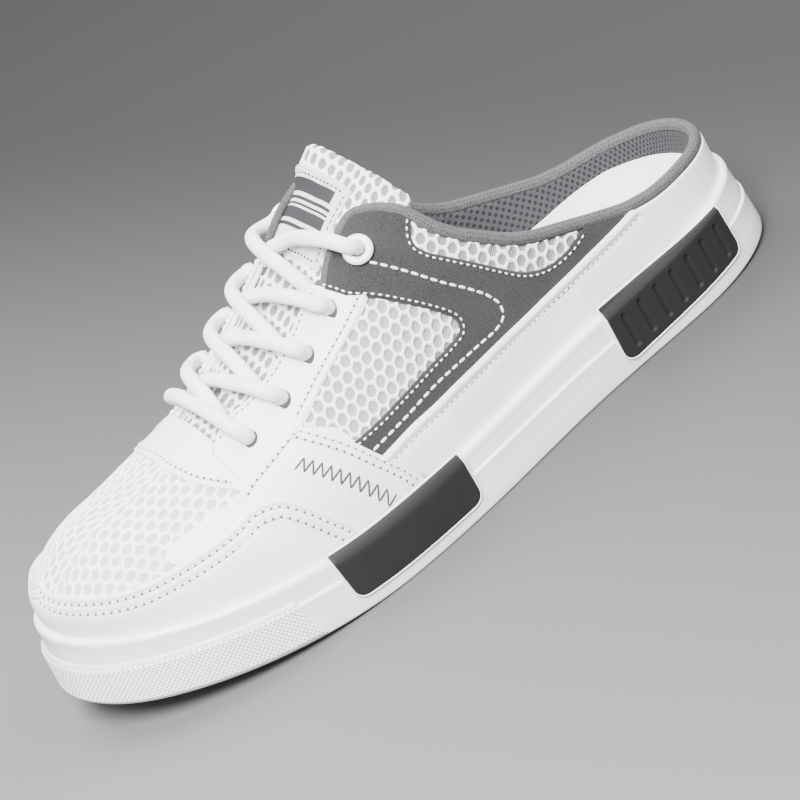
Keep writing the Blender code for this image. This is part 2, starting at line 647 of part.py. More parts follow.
def build_overlays():
    """Guard, strap, eyestays, side panels, quarter and throat band."""
    below = FAR_BELOW
    far = BALL_WIDTH
    crown_y = CROWN_ACROSS * BALL_WIDTH
    sides = (("outer", crown_y, far), ("inner", -far, crown_y))
    guard = list(GUARD_TOP) + [(1.050, below), (0.655, below)]
    overlay("toe_guard", guard, -far, far, WHITE, 0.45)
    quarter = list(QUARTER_TOP) + [(0.160, 0.70), (-0.05, 0.70), (-0.05, below), (0.560, below),
                                   (0.570, 0.254), (0.582, 0.345)]
    overlay("heel_quarter", quarter, -far, far, WHITE, 0.45)
    strap = list(STRAP_REAR) + list(STRAP_FRONT) + list(GUARD_TOP[7::-1]) + [(0.655, below), (0.560, below)]
    eyestay = list(SEAM) + list(WINDOW_FRONT) + [STRAP_REAR[-1]] + list(STRAP_FRONT[:3]) + [
        *CREASE, (CREASE[-1][0], FAR_ABOVE), (SEAM[0][0], FAR_ABOVE)]
    panel = list(SEAM) + list(WINDOW_REAR) + [(0.5985, 0.432)] + list(QUARTER_TOP[1:-1]) + [
        (0.172, 0.70), (0.240, 0.70)] + list(COLLAR_WINDOW) + [(0.400, FAR_ABOVE), (SEAM[0][0], FAR_ABOVE)]
    for side, low, high in sides:
        overlay("forefoot_strap_" + side, strap, low, high, WHITE, 0.45)
        overlay("eyestay_" + side, eyestay, low, high, WHITE, 0.45)
        overlay("side_panel_" + side, panel, low, high, GREY, 0.85)
    band = [(k, CROWN_ACROSS + d) for k, d in BAND_FRONT[::-1]]
    band += [(k, CROWN_ACROSS - d) for k, d in BAND_FRONT[1:]]
    band += [(BAND_REAR[0], CROWN_ACROSS - BAND_REAR[1]), (BAND_REAR[0], CROWN_ACROSS + BAND_REAR[1])]
    piece = overlay("throat_band", band, FLOOR_HEEL, 2 * INSTEP_HEIGHT, WHITE, 0.45, upright=True)
    for label, outline in (("eyestay", eyestay), ("strap", strap), ("guard", guard)):
        drawn = inset_outline(np.array(outline) * [SOLE_LENGTH, INSTEP_HEIGHT], -SEAM_GAP / 2)
        cut(piece, prism("band_" + label, drawn, -far, far), "DIFFERENCE")


def loft(name, sections, colour, roughness, looped=False):
    """Closed solid through sections with the same number of points."""
    count, ring = len(sections), len(sections[0])
    points = np.concatenate(sections)
    faces = []
    for i in range(count if looped else count - 1):
        k = (i + 1) % count
        for j in range(ring):
            m = (j + 1) % ring
            faces.append((i * ring + j, i * ring + m, k * ring + m, k * ring + j))
    if not looped:
        faces += [tuple(range(ring)), tuple(range(count * ring - 1, (count - 1) * ring - 1, -1))]
    return fill_piece(new_piece(name, colour, roughness), points, faces)


def build_binding():
    """Woven binding along the collar's cut edge, from one tab's front round the heel to the other."""
    side = stations()
    side = side[share_of(side) < TAB_SHARE - 0.01]
    path = np.concatenate([-side[:0:-1], side])
    rise = rim_rise(path)
    edge = skin(path, rise, np.full(path.shape, SHELL_DEPTH / 2))
    deeper = skin(path, rise, np.full(path.shape, SHELL_DEPTH / 2 + 0.001))
    out = edge - deeper
    out /= np.linalg.norm(out, axis=1)[:, None]
    along = np.gradient(edge, axis=0)
    along /= np.linalg.norm(along, axis=1)[:, None]
    away = np.cross(out, along)
    away *= np.sign(np.sum(away * (0, 0, 1), axis=1).sum())
    away /= np.linalg.norm(away, axis=1)[:, None]
    half_flat = BINDING_WIDTH / 2 * math.cos(math.pi / BINDING_SIDES)
    middle = edge + away * (half_flat + 2 * FIT_GAP)
    sections = []
    for m, a, o in zip(middle, away, out):
        ring = []
        for i in range(BINDING_SIDES):
            t = 2 * math.pi * (i + 0.5) / BINDING_SIDES
            ring.append(m + a * math.cos(t) * BINDING_WIDTH / 2 + o * math.sin(t) * BINDING_THICK / 2)
        sections.append(np.array(ring))
    return loft("collar_binding", sections, DARK_WEAVE, 0.9)


def wall_inset(station, height):
    """How far the sole's side stands in from the outline, at a height over its bottom edge."""
    share = share_of(station)
    lean = BAND_LEAN + TIP_LEAN * tip_share(station)
    tall = wall_height(share)
    low = lean * 0.5 * np.clip(height / LEDGE_HEIGHT, 0, 1)
    part = np.clip((height - LEDGE_HEIGHT) / (tall - SHOULDER_DROP - LEDGE_HEIGHT), 0, 1)
    return np.where(height <= LEDGE_HEIGHT, low, lean * (0.5 + 0.5 * part) + LEDGE_STEP)


def skin_inset(station, height):
    """How far the skin stands in from the outline, at a height over the sole's bottom edge."""
    edge, out = edge_at(station)
    z = spring(share_of(station)) + height
    place = skin_face(station, rise_at(station, z))
    return np.sum((edge - place[..., :2]) * out, axis=-1)


def block_face(station):
    """How far the block's outer face stands out of the outline."""
    return BLOCK_PROUD - BAND_LEAN - LEDGE_STEP / 2 + 0 * share_of(station)


def build_block(name, rear, front, low, side):
    """Rubber block on the sole's side, its top bevelled in over the shoulder to the upper."""
    sections = []
    for step in BLOCK_STEPS:
        s = side * station_of(rear + (front - rear) * step)
        edge, out = edge_at(s)
        share = share_of(s)
        base, tall = spring(share), wall_height(share)
        near_end = min(step, 1 - step) * (front - rear) * SOLE_LENGTH
        lift = BLOCK_ROUND - math.sqrt(max(BLOCK_ROUND ** 2 - max(BLOCK_ROUND - near_end, 0) ** 2, 0))
        bottom = low + lift * 0.9
        proud = float(block_face(s))
        upper_low = float(skin_inset(s, tall + FIT_GAP)) - FIT_GAP
        upper_high = float(skin_inset(s, tall + BLOCK_LIP)) - FIT_GAP
        inset = float(wall_inset(s, tall))
        profile = (
            (-proud, bottom), (-proud, tall - SHOULDER_DROP * 0.8), (-proud + 0.0008, tall - 0.0006),
            (upper_high, tall + BLOCK_LIP), (upper_low, tall + FIT_GAP),
            (inset + SHOULDER_WIDTH - FIT_GAP, tall + FIT_GAP),
            (inset + SHOULDER_WIDTH * 0.35 - FIT_GAP, tall - SHOULDER_DROP * 0.45 + FIT_GAP),
            (inset - FIT_GAP, tall - SHOULDER_DROP), (-FIT_GAP, LEDGE_HEIGHT), (-FIT_GAP, bottom),
        )
        sections.append(np.array([(*(edge - out * deep), base + height) for deep, height in profile]))
    return loft(name, sections, CHARCOAL, 0.6)


def slot_cutter(name, rear, front, side, count):
    """One cutter that holds the upright slots of a block."""
    bm = bmesh.new()
    for i in range(count):
        share = rear + (front - rear) * (i + 0.8) / (count + 0.6)
        s = side * station_of(share)
        edge, out = edge_at(s)
        along = np.array([-out[1], out[0]])
        face = float(block_face(s))
        base = float(spring(share_of(s)))
        corners = []
        for z in SLOT_ENDS:
            for a in (-1, 1):
                for d in (face - SLOT_DEEP, face + 0.003):
                    p = edge + out * d + along * a * SLOT_WIDTH / 2 - MIDDLE
                    corners.append(bm.verts.new((p[0], p[1], base + z)))
        for quad in ((0, 1, 3, 2), (4, 6, 7, 5), (0, 4, 5, 1), (2, 3, 7, 6), (0, 2, 6, 4), (1, 5, 7, 3)):
            bm.faces.new([corners[q] for q in quad])
    bmesh.ops.recalc_face_normals(bm, faces=bm.faces)
    piece = bpy.data.objects.new(name, bpy.data.meshes.new(name))
    CUTTERS.objects.link(piece)
    piece.hide_render = True
    piece.display_type = "WIRE"
    bm.to_mesh(piece.data)
    bm.free()
    return piece


def build_blocks():
    """Two blocks on each side of the sole, the rear ones with slots."""
    for name, rear, front, low, slots in BLOCKS:
        for label, side in (("_outer", 1), ("_inner", -1)):
            piece = build_block(name + label, rear, front, low, side)
            if slots:
                cut(piece, slot_cutter(name + label + "_slots", rear, front, side, slots), "DIFFERENCE")


def build_bumper():
    """Dotted rubber band round the toe."""
    sections = []
    for i in range(BUMPER_STEPS + 1):
        start, end = float(station_of(BUMPER_REAR[0])), 2 - float(station_of(BUMPER_REAR[0]))
        s = wrap(start + (end - start) * i / BUMPER_STEPS)
        edge, out = edge_at(s)
        share = share_of(s)
        base = spring(share)
        low, high = BUMPER_HEIGHTS
        inset_low, inset_high = float(wall_inset(s, low)), float(wall_inset(s, LEDGE_HEIGHT))
        slant = (BUMPER_REAR[1] - BUMPER_REAR[0]) * SOLE_LENGTH if i in (0, BUMPER_STEPS) else 0.0
        high -= slant * 0.25
        profile = (
            (inset_low - BUMPER_PROUD + 0.0003, low), (inset_low - BUMPER_PROUD, low + 0.0012),
            (inset_high - BUMPER_PROUD, high - 0.0012), (inset_high - BUMPER_PROUD + 0.0005, high),
            (inset_high - FIT_GAP, high), (inset_low - FIT_GAP, low),
        )
        sections.append(np.array([(*(edge - out * inset), base + height) for inset, height in profile]))
    return loft("toe_bumper", sections, WHITE, 0.5)


def tube(points, radius, sides=LACE_SIDES):
    """Sections of a cord through the points."""
    p = np.array(points, float)
    along = np.gradient(p, axis=0)
    along /= np.linalg.norm(along, axis=1)[:, None]
    sections = []
    guide = np.array((0, 0, 1.0))
    for place, way in zip(p, along):
        first = np.cross(way, guide)
        first /= np.linalg.norm(first)
        second = np.cross(first, way)
        turn = [2 * math.pi * (i + 0.5) / sides for i in range(sides)]
        sections.append(np.array([place + radius * (first * math.cos(t) + second * math.sin(t))
                                  for t in turn]))
    return sections


def lace_way(first, last, side):
    """Run of the lace from under one eyestay's edge, over the tongue and on top to a far hole."""
    start, end = first[0] - LACE_SHIFT, last[0] + 0.004
    places = []
    for part, near, far, depth in LACE_RUN:
        across = near * first[2] - far * (1 - last[1])
        s, v = hoop(start + (end - start) * part, np.array(side * across))
        if last is HOLES[-1] and across < -RING_CLEAR_FROM:
            depth -= RING_THICK + 4 * FIT_GAP
        places.append(skin(float(s), float(v), depth))
    return places


def build_laces():
    """Bar over the lowest holes and a crossing between each two pairs of holes."""
    clear = LACE_THICK / 2 + FIT_GAP
    share, rise, edge = HOLES[0]
    bar = []
    for across in np.linspace(1, -1, 9):
        s, v = hoop(share + 0.006, np.array(across * (1 - rise)))
        bar.append(skin(float(s), float(v), -clear - 0.0004))
    loft("lace_bar", tube(bar, LACE_THICK / 2), WHITE, 0.9)
    for i in range(len(HOLES) - 1):
        piece = loft("lace_cross_%d" % (i + 1), tube(lace_way(HOLES[i], HOLES[i + 1], 1), LACE_THICK / 2),
                     WHITE, 0.9)
        other = loft("lace_other_%d" % (i + 1), tube(lace_way(HOLES[i], HOLES[i + 1], -1), LACE_THICK / 2),
                     WHITE, 0.9)
        SHOE.objects.unlink(other)
        CUTTERS.objects.link(other)
        other.hide_render = True
        other.display_type = "WIRE"
        cut(piece, other, "UNION")


def build_rings():
    """Ring round each top eyelet."""
    share, rise, edge = HOLES[-1]
    for label, side in (("_outer", 1), ("_inner", -1)):
        s = side * station_of(share)
        place = skin(s, rise, -0.0008)
        out = skin(s, rise, -0.0018) - place
        out /= np.linalg.norm(out)
        first = np.cross(out, (1.0, 0, 0))
        first /= np.linalg.norm(first)
        second = np.cross(out, first)
        sections = []
        for i in range(RING_SIDES):
            t = 2 * math.pi * i / RING_SIDES
            ray = first * math.cos(t) + second * math.sin(t)
            profile = ((RING_HOLE, 0.0), (RING_HOLE, RING_THICK * 0.7), (RING_HOLE + 0.0008, RING_THICK),
                       (RING_OUTER - 0.0008, RING_THICK), (RING_OUTER, 0.0))
            sections.append(np.array([place + ray * r + out * h for r, h in profile]))
        loft("eyelet_ring" + label, sections, WHITE, 0.3, looped=True)


def build_label():
    """Woven label on the tongue's face, under the tabs."""
    rows, columns = 4, 7
    k, h = np.meshgrid(np.linspace(*LABEL_SHARES, rows), np.linspace(*LABEL_ACROSS, columns), indexing="ij")
    s, v = hoop(k, h)
    face = tongue_depth(k, h) - FIT_GAP
    top = skin(s, v, face - LABEL_THICK).reshape(-1, 3)
    bottom = skin(s, v, face).reshape(-1, 3)
    thicken(new_piece("tongue_label", WHITE, 0.9), top, bottom, grid_faces(rows, columns))


for old in list(bpy.data.objects):
    bpy.data.objects.remove(old, do_unlink=True)
SHOE = bpy.data.collections.new("sneaker_mule")
bpy.context.scene.collection.children.link(SHOE)
CUTTERS = bpy.data.collections.new("cutters")
bpy.context.scene.collection.children.link(CUTTERS)
ALL_POINTS = np.concatenate([OUTER[:, 1:3], INNER[:, 1:3]])
MIDDLE = (ALL_POINTS.min(0) + ALL_POINTS.max(0)) / 2

build_outsole()
build_shell("upper", OVERLAY_THICK + FIT_GAP, SHELL_DEPTH, MESH_WHITE, 0.7)
build_insole()
build_tongue()
build_overlays()
build_binding()
build_blocks()
build_bumper()
build_laces()
build_rings()
build_label()
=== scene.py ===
# %% [markdown]
# A sneaker mule for the left foot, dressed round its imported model. Each step says what the piece is
# on the real shoe, how it could be made, and why this way was chosen.
#
# The shoe's form is one function. Leather, mesh and lining are sheets that a maker pulls over a
# last, so here every sheet is drawn flat, filled with points, and laid on the same skin of the last
# at its own depth. Pieces that share a skin never drift apart when one of them is changed.

# %% Load the fixed frame
import json
import math

import bmesh
import bpy
import numpy as np
from mathutils import Matrix, Vector
from mathutils.bvhtree import BVHTree
from mathutils.geometry import delaunay_2d_cdt
from mathutils.kdtree import KDTree

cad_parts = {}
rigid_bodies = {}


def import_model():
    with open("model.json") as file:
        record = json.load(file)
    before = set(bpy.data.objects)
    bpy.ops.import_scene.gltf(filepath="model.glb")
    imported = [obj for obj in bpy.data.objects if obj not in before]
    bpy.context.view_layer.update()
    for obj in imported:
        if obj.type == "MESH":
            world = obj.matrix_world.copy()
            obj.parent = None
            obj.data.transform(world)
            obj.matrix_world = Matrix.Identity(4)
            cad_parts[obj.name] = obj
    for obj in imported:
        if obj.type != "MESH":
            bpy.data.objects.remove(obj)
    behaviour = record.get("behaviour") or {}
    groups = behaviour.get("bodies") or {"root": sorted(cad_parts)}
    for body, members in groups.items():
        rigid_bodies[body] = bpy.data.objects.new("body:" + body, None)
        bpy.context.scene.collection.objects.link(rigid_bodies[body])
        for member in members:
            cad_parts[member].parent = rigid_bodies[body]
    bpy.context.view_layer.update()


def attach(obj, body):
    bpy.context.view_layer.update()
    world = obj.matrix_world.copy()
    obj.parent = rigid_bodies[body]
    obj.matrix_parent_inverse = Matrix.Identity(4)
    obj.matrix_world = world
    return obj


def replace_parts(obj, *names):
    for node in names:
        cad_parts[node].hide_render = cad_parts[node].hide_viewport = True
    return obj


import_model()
bpy.ops.object.select_all(action="DESELECT")

# %% [markdown]
# The last is driven by a few real sizes. The tables hold shares of them, a row for each section, so
# that the foot's outline and the height of the instep are changed in one place.

# %% Sizes of the shoe, in metres
SOLE_LENGTH = 0.290
BALL_WIDTH = 0.103
INSTEP_HEIGHT = 0.088
WALL_HEEL, WALL_WAIST, WALL_TOE = 0.029, 0.0225, 0.0250
TOE_SPRING, SPRING_START, SPRING_POWER = 0.013, 0.64, 1.7
CUP_WALL, HEEL_EXTRA, TOE_EXTRA, TIP_LEAN = 0.0045, 0.0015, 0.0030, 0.0020
FLOOR_HEEL, FLOOR_FORE = 0.0190, 0.0110
UPPER_TOP, UPPER_BOTTOM = 0.0015, 0.0035
LEDGE_HEIGHT, LEDGE_STEP, LEDGE_CLIMB, HEEL_LIFT = 0.0142, 0.0007, 0.0023, 0.0026
SHOULDER_DROP, SHOULDER_WIDTH = 0.0032, 0.0014
THROAT_SHARE, TAB_SHARE, THROAT_RISE, TAB_LEAN = 0.727, 0.536, 0.80, 0.034
HEEL_POLE, TOE_POLE = 0.12, 0.87
SHOULDER_OUT, SHOULDER_UP = 0.92, 0.38
ROUND_GIRTH, SIDE_GIRTH, HOOP_GIRTH = 0.40, 0.08, 0.075  # what the numbers of a chart stand for
LIP, BEVEL = 0.0022, 0.0036  # the sole's lip over its top, and the height of a block's bevel

OUTLINE = (  # along, across, from the heel up the outer side
    (0.000, 0.000), (0.022, 0.180), (0.085, 0.305), (0.200, 0.365), (0.340, 0.400), (0.480, 0.470),
    (0.600, 0.515), (0.710, 0.515), (0.810, 0.465), (0.900, 0.365), (0.965, 0.225), (0.998, 0.030),
    (0.985, -0.200), (0.930, -0.370), (0.840, -0.455), (0.730, -0.475), (0.620, -0.430),
    (0.500, -0.350), (0.360, -0.318), (0.210, -0.328), (0.090, -0.300), (0.022, -0.185),
)
CROWN = (  # along, height, across, top, flank, swell
    (0.00, 1.26, 0.000, 1.00, 0.95, 0.40),
    (0.10, 1.26, 0.000, 1.00, 0.95, 0.15),
    (0.33, 1.31, 0.000, 0.95, 0.90, 0.00),
    (0.41, 1.24, -0.010, 0.90, 0.88, 0.00),
    (0.48, 1.145, -0.020, 0.86, 0.86, 0.00),
    (0.54, 1.000, -0.025, 0.85, 0.85, 0.00),
    (0.59, 0.910, -0.028, 0.85, 0.85, 0.00),
    (0.64, 0.840, -0.030, 0.85, 0.85, 0.09),
    (0.70, 0.775, -0.030, 0.85, 0.85, 0.18),
    (0.78, 0.725, -0.030, 0.85, 0.86, 0.27),
    (0.87, 0.695, -0.028, 0.85, 0.90, 0.45),
    (1.00, 0.695, -0.025, 0.85, 0.90, 1.00),
)
INSTEP_SHOULDER = (  # along, how far the inner side of the instep stands out beyond the outer one
    (0.30, 0.000), (0.38, 0.050), (0.44, 0.085), (0.52, 0.088), (0.58, 0.070), (0.64, 0.035), (0.72, 0.000),
)
RIM = (  # along, height of the collar's cut edge
    (0.000, 0.465), (0.044, 0.466), (0.092, 0.472), (0.136, 0.478), (0.180, 0.502), (0.220, 0.548),
    (0.249, 0.586), (0.277, 0.624), (0.305, 0.662), (0.332, 0.717), (0.359, 0.792), (0.383, 0.866),
    (0.401, 0.942), (0.411, 1.000), (0.420, 1.048), (0.442, 1.085), (0.460, 1.090), (0.480, 1.065),
    (0.495, 1.036), (0.514, 0.995), (0.533, 0.950), (0.600, 0.850),
)
THROAT = (  # along, rise of the eyestay's inner edge, from the tab to the band
    (0.536, 0.800), (0.546, 0.815), (0.571, 0.807), (0.596, 0.792), (0.619, 0.784), (0.644, 0.784),
    (0.670, 0.795), (0.696, 0.822), (0.717, 0.803), (0.726, 0.780),
)


# %% [markdown]
# Two curve tools serve every outline on the shoe. One passes through a table without overshooting
# it, which keeps a slope from rippling between sections. The other rounds a line through its points,
# as a pattern cutter's curve does.

# %% Curves through tables and points
def smooth_table(table, x, column):
    """Value of a column at x, on a curve that never overshoots the rows."""
    rows = np.array(table, float)
    knots, values = rows[:, 0], rows[:, column]
    step = np.diff(knots)
    slope = np.diff(values) / step
    tangent = np.concatenate([slope[:1], np.zeros(len(knots) - 2), slope[-1:]])
    for i in range(1, len(knots) - 1):
        before, after = slope[i - 1], slope[i]
        if before * after > 0:
            tangent[i] = 2 * before * after / (before + after)
    x = np.clip(x, knots[0], knots[-1])
    i = np.clip(np.searchsorted(knots, x, side="right") - 1, 0, len(knots) - 2)
    t = (x - knots[i]) / step[i]
    return ((2 * t ** 3 - 3 * t ** 2 + 1) * values[i] + (t ** 3 - 2 * t ** 2 + t) * step[i] * tangent[i]
            + (3 * t ** 2 - 2 * t ** 3) * values[i + 1] + (t ** 3 - t ** 2) * step[i] * tangent[i + 1])


def closed_curve(points, count):
    """Smooth closed curve through the points."""
    p = np.array(points, float)
    chord = np.roll(p, -1, 0) - p
    length = np.hypot(chord[:, 0], chord[:, 1])
    n = len(p)
    system, right = np.zeros((n, n)), np.zeros((n, 2))
    for i in range(n):
        system[i, i - 1] = length[i - 1]
        system[i, i] = 2 * (length[i - 1] + length[i])
        system[i, (i + 1) % n] = length[i]
        right[i] = 6 * (chord[i] / length[i] - chord[i - 1] / length[i - 1])
    bend = np.linalg.solve(system, right)
    knots = np.concatenate([[0], np.cumsum(length)])
    s = np.linspace(0, knots[-1], count, endpoint=False)
    i = np.clip(np.searchsorted(knots, s, side="right") - 1, 0, n - 1)
    j = (i + 1) % n
    a, b, h = (knots[i + 1] - s)[:, None], (s - knots[i])[:, None], length[i][:, None]
    return ((bend[i] * a ** 3 + bend[j] * b ** 3) / (6 * h) + (p[i] / h - bend[i] * h / 6) * a
            + (p[j] / h - bend[j] * h / 6) * b)


def run(points, pitch=0.0010):
    """Open curve through the points, resampled to an even pitch in their own units."""
    p = np.array(points, float)
    if len(p) > 2:
        ends = np.concatenate([[2 * p[0] - p[1]], p, [2 * p[-1] - p[-2]]])
        gap = np.maximum(np.linalg.norm(np.diff(ends, axis=0), axis=1), 1e-9) ** 0.5
        out = []
        for i in range(1, len(ends) - 2):
            t = np.linspace(0, gap[i], 24, endpoint=False)[:, None]
            a, b, c, d = ends[i - 1:i + 3]
            t0, t1, t3 = -gap[i - 1], gap[i], gap[i] + gap[i + 1]
            low = a * (0 - t) / (0 - t0) + b * (t - t0) / (0 - t0)
            mid = b * (t1 - t) / t1 + c * t / t1
            high = c * (t3 - t) / (t3 - t1) + d * (t - t1) / (t3 - t1)
            first = low * (t1 - t) / (t1 - t0) + mid * (t - t0) / (t1 - t0)
            second = mid * (t3 - t) / t3 + high * t / t3
            out.append(first * (t1 - t) / t1 + second * t / t1)
        p = np.concatenate(out + [p[-1:]])
    travel = np.concatenate([[0], np.cumsum(np.linalg.norm(np.diff(p, axis=0), axis=1))])
    count = max(int(round(travel[-1] / pitch)), 1)
    even = np.linspace(0, travel[-1], count + 1)
    return np.stack([np.interp(even, travel, p[:, c]) for c in range(p.shape[1])], 1)


# %% [markdown]
# A place on the last is a station, which runs from 0 at the back of the heel to 1 at the tip of the
# toe and below 0 down the inner side, and a rise, 0 at the foot of the upper and 1 on its crown.
# Depth is how far under the outermost skin a layer lies. Overlays lie at 0 to 1.2 mm, the hollow
# upper at 1.5 to 3.5 mm, and the tongue below that.

# %% Outline of the foot
def trace_outline():
    """Dense outline with its outward directions, split into the outer and the inner side."""
    p = closed_curve(np.array(OUTLINE) * [SOLE_LENGTH, BALL_WIDTH], 2400)
    p = np.roll(p, -int(p[:, 0].argmin()), 0)
    along = np.roll(p, -1, 0) - np.roll(p, 1, 0)
    along /= np.linalg.norm(along, axis=1)[:, None]
    out = np.stack([-along[:, 1], along[:, 0]], 1)
    tip = int(p[:, 0].argmax())
    share = np.clip((p[:, 0] - p[0, 0]) / (p[tip, 0] - p[0, 0]), 0, 1)
    rows = np.column_stack([np.arccos(1 - 2 * share) / math.pi, p, out])
    return rows[:tip + 1], np.concatenate([rows[tip:], rows[:1]])[::-1]


OUTER, INNER = trace_outline()
ALL_POINTS = np.concatenate([OUTER[:, 1:3], INNER[:, 1:3]])
MIDDLE = np.append((ALL_POINTS.min(0) + ALL_POINTS.max(0)) / 2, 0)


def wrap(station):
    return (np.asarray(station, float) + 1) % 2 - 1


def share_of(station):
    return (1 - np.cos(math.pi * wrap(station))) / 2


def station_of(share):
    return np.arccos(1 - 2 * np.clip(share, 0, 1)) / math.pi


def edge_at(station):
    """Points of the sole's outline and their outward directions."""
    s = wrap(station)
    pick = lambda col: np.where(s >= 0, np.interp(abs(s), OUTER[:, 0], OUTER[:, col]),
                                np.interp(abs(s), INNER[:, 0], INNER[:, col]))
    out = np.stack([pick(3), pick(4)], -1)
    return np.stack([pick(1), pick(2)], -1), out / np.linalg.norm(out, axis=-1)[..., None]


print("outline", len(OUTER), "outer and", len(INNER), "inner points")

# %% [markdown]
# Heights follow the share of the length. The toe springs off the floor, the sole's wall is lowest at
# the waist, and its bottom edge rounds up a little at the back of the heel.

# %% Heights along the shoe
def tip_share(station):
    return abs(2 * share_of(station) - 1) ** 6


def spring(share):
    return TOE_SPRING * (np.clip(share - SPRING_START, 0, 1) / (1 - SPRING_START)) ** SPRING_POWER


def wall_height(share):
    return (WALL_HEEL * (1 - share) * (1 - 2 * share) + 4 * WALL_WAIST * share * (1 - share)
            + WALL_TOE * share * (2 * share - 1))


def ledge_height(share):
    """Height of the thin ledge on the sole's side, which climbs towards the heel."""
    return LEDGE_HEIGHT + LEDGE_CLIMB * np.clip((0.28 - share) / 0.23, 0, 1)


def heel_lift(share):
    """How far the bottom edge rounds up off the floor at the back of the heel."""
    return HEEL_LIFT * np.clip(1 - share / 0.17, 0, 1) ** 2


def floor_height(share):
    t = np.clip((share - 0.30) / 0.35, 0, 1)
    return FLOOR_HEEL + (FLOOR_FORE - FLOOR_HEEL) * t * t * (3 - 2 * t) + spring(share)


print("heel floor", float(floor_height(0.0)), "toe floor", round(float(floor_height(1.0)), 4))

# %% [markdown]
# The skin rises from the foot of the upper to the crown in one quarter turn. Two powers for each
# section set how full it is, so the toe box, the instep and the heel need no sculpting of their own.

# %% The skin of the last
def crown_at(share):
    k = np.clip(share, HEEL_POLE, TOE_POLE)
    xyz = np.stack([k * SOLE_LENGTH, smooth_table(CROWN, k, 2) * BALL_WIDTH,
                    smooth_table(CROWN, k, 1) * INSTEP_HEIGHT], -1)
    return xyz, smooth_table(CROWN, share, 3), smooth_table(CROWN, share, 4), smooth_table(CROWN, share, 5)


def skin_face(station, rise):
    share = share_of(station)
    foot, out = edge_at(station)
    extra = np.where(share < 0.5, HEEL_EXTRA, TOE_EXTRA) * tip_share(station)
    foot = foot - out * (CUP_WALL + extra)[..., None]
    crown, top, flank, swell = crown_at(share)
    base = floor_height(share)
    turn = np.clip(rise, 0, 1) * math.pi / 2
    reach = 1 - np.cos(turn) ** top
    climb = np.sin(turn) ** flank
    puff = swell * CUP_WALL * np.sin(math.pi * np.clip(turn / 1.2, 0, 1)) ** 2
    flat = foot + (crown[..., :2] - foot) * reach[..., None] + out * puff[..., None]
    full = smooth_table(INSTEP_SHOULDER, share, 1) * BALL_WIDTH * (wrap(station) < 0)
    full = full * np.sin(math.pi * np.clip(rise, 0, 1) ** 2.4) ** 1.5
    flat[..., 1] -= full * SHOULDER_OUT
    height = base + (crown[..., 2] - base) * climb + full * SHOULDER_UP
    return np.concatenate([flat, height[..., None]], -1)


def skin(station, rise, depth=0.0):
    """Points under the skin by depth, or over it where depth is negative."""
    station, rise = np.broadcast_arrays(np.asarray(station, float), np.asarray(rise, float))
    depth = np.asarray(depth, float)
    low, high = np.clip(rise - 0.01, 0.001, 0.985), np.clip(rise + 0.01, 0.021, 0.995)
    side = skin_face(station + 0.004, rise) - skin_face(station - 0.004, rise)
    up = skin_face(station, high) - skin_face(station, low)
    normal = np.cross(up, side)
    share = share_of(station)
    slope = crown_at(np.clip(share, 0, TOE_POLE) + 0.01)[0] - crown_at(np.clip(share, 0, TOE_POLE) - 0.01)[0]
    flat = np.stack([-slope[..., 2], np.zeros_like(share), slope[..., 0]], -1)
    flat[np.abs(flat).sum(-1) < 1e-9] = (0, 0, 1)
    size = np.linalg.norm(normal, axis=-1)[..., None]
    normal = np.where(size > 1e-12, normal / np.maximum(size, 1e-12), (0, 0, 1))
    flat /= np.linalg.norm(flat, axis=-1)[..., None]
    near = (np.clip((rise - 0.90) / 0.10, 0, 1) ** 2)[..., None]
    normal = normal * (1 - near) + flat * near
    normal /= np.linalg.norm(normal, axis=-1)[..., None]
    return skin_face(station, rise) - normal * depth[..., None]


def rise_at(station, height):
    """Rise at which the skin reaches a height."""
    share = share_of(station)
    crown, top, flank, swell = crown_at(share)
    base = floor_height(share)
    part = np.clip((height - base) / (crown[..., 2] - base), 0, 1)
    return np.arcsin(part ** (1 / flank)) * 2 / math.pi


def rim_rise(station):
    """Rise of the upper's cut edge along the collar, then down the throat."""
    share = share_of(station)
    cut = rise_at(station, smooth_table(RIM, share, 1) * INSTEP_HEIGHT)
    front = np.clip((share - 0.425) / 0.03, 0, 1) * np.clip((TAB_SHARE - share) / 0.03, 0, 1)
    tab = np.minimum(cut, THROAT_RISE) + TAB_LEAN * front * np.sign(wrap(station))
    return np.where(share < TAB_SHARE, tab, smooth_table(THROAT, share, 1))


# %% [markdown]
# A chart turns a flat place into a place on the last, and holds how many metres its two numbers
# stand for. The round chart follows the stations round heel and toe. The hoop chart crosses the
# instep, where the round one has its seam, so bands and tongue are drawn on it. The wall chart
# climbs the side of the sole, for blocks and bumper.

# %% Charts
def side_inset(station, height):
    """How far the sole's side stands in from the outline, and above it the upper's skin."""
    share = share_of(station)
    lean = 0.0003 + TIP_LEAN * tip_share(station)
    tall = wall_height(share)
    ledge = ledge_height(share)
    low = lean * 0.5 * np.clip(height / ledge, 0, 1)
    part = np.clip((height - ledge) / (tall - SHOULDER_DROP - ledge), 0, 1)
    wall = np.where(height <= ledge, low, lean * (0.5 + 0.5 * part) + LEDGE_STEP)
    edge, out = edge_at(station)
    top = skin_face(station, rise_at(station, spring(share) + tall + LIP))
    inner = np.sum((edge - top[..., :2]) * out, axis=-1)
    over = np.clip((height - tall + SHOULDER_DROP * 0.8) / (SHOULDER_DROP * 0.8 + LIP), 0, 1)
    return wall + (inner - wall) * over ** 1.6


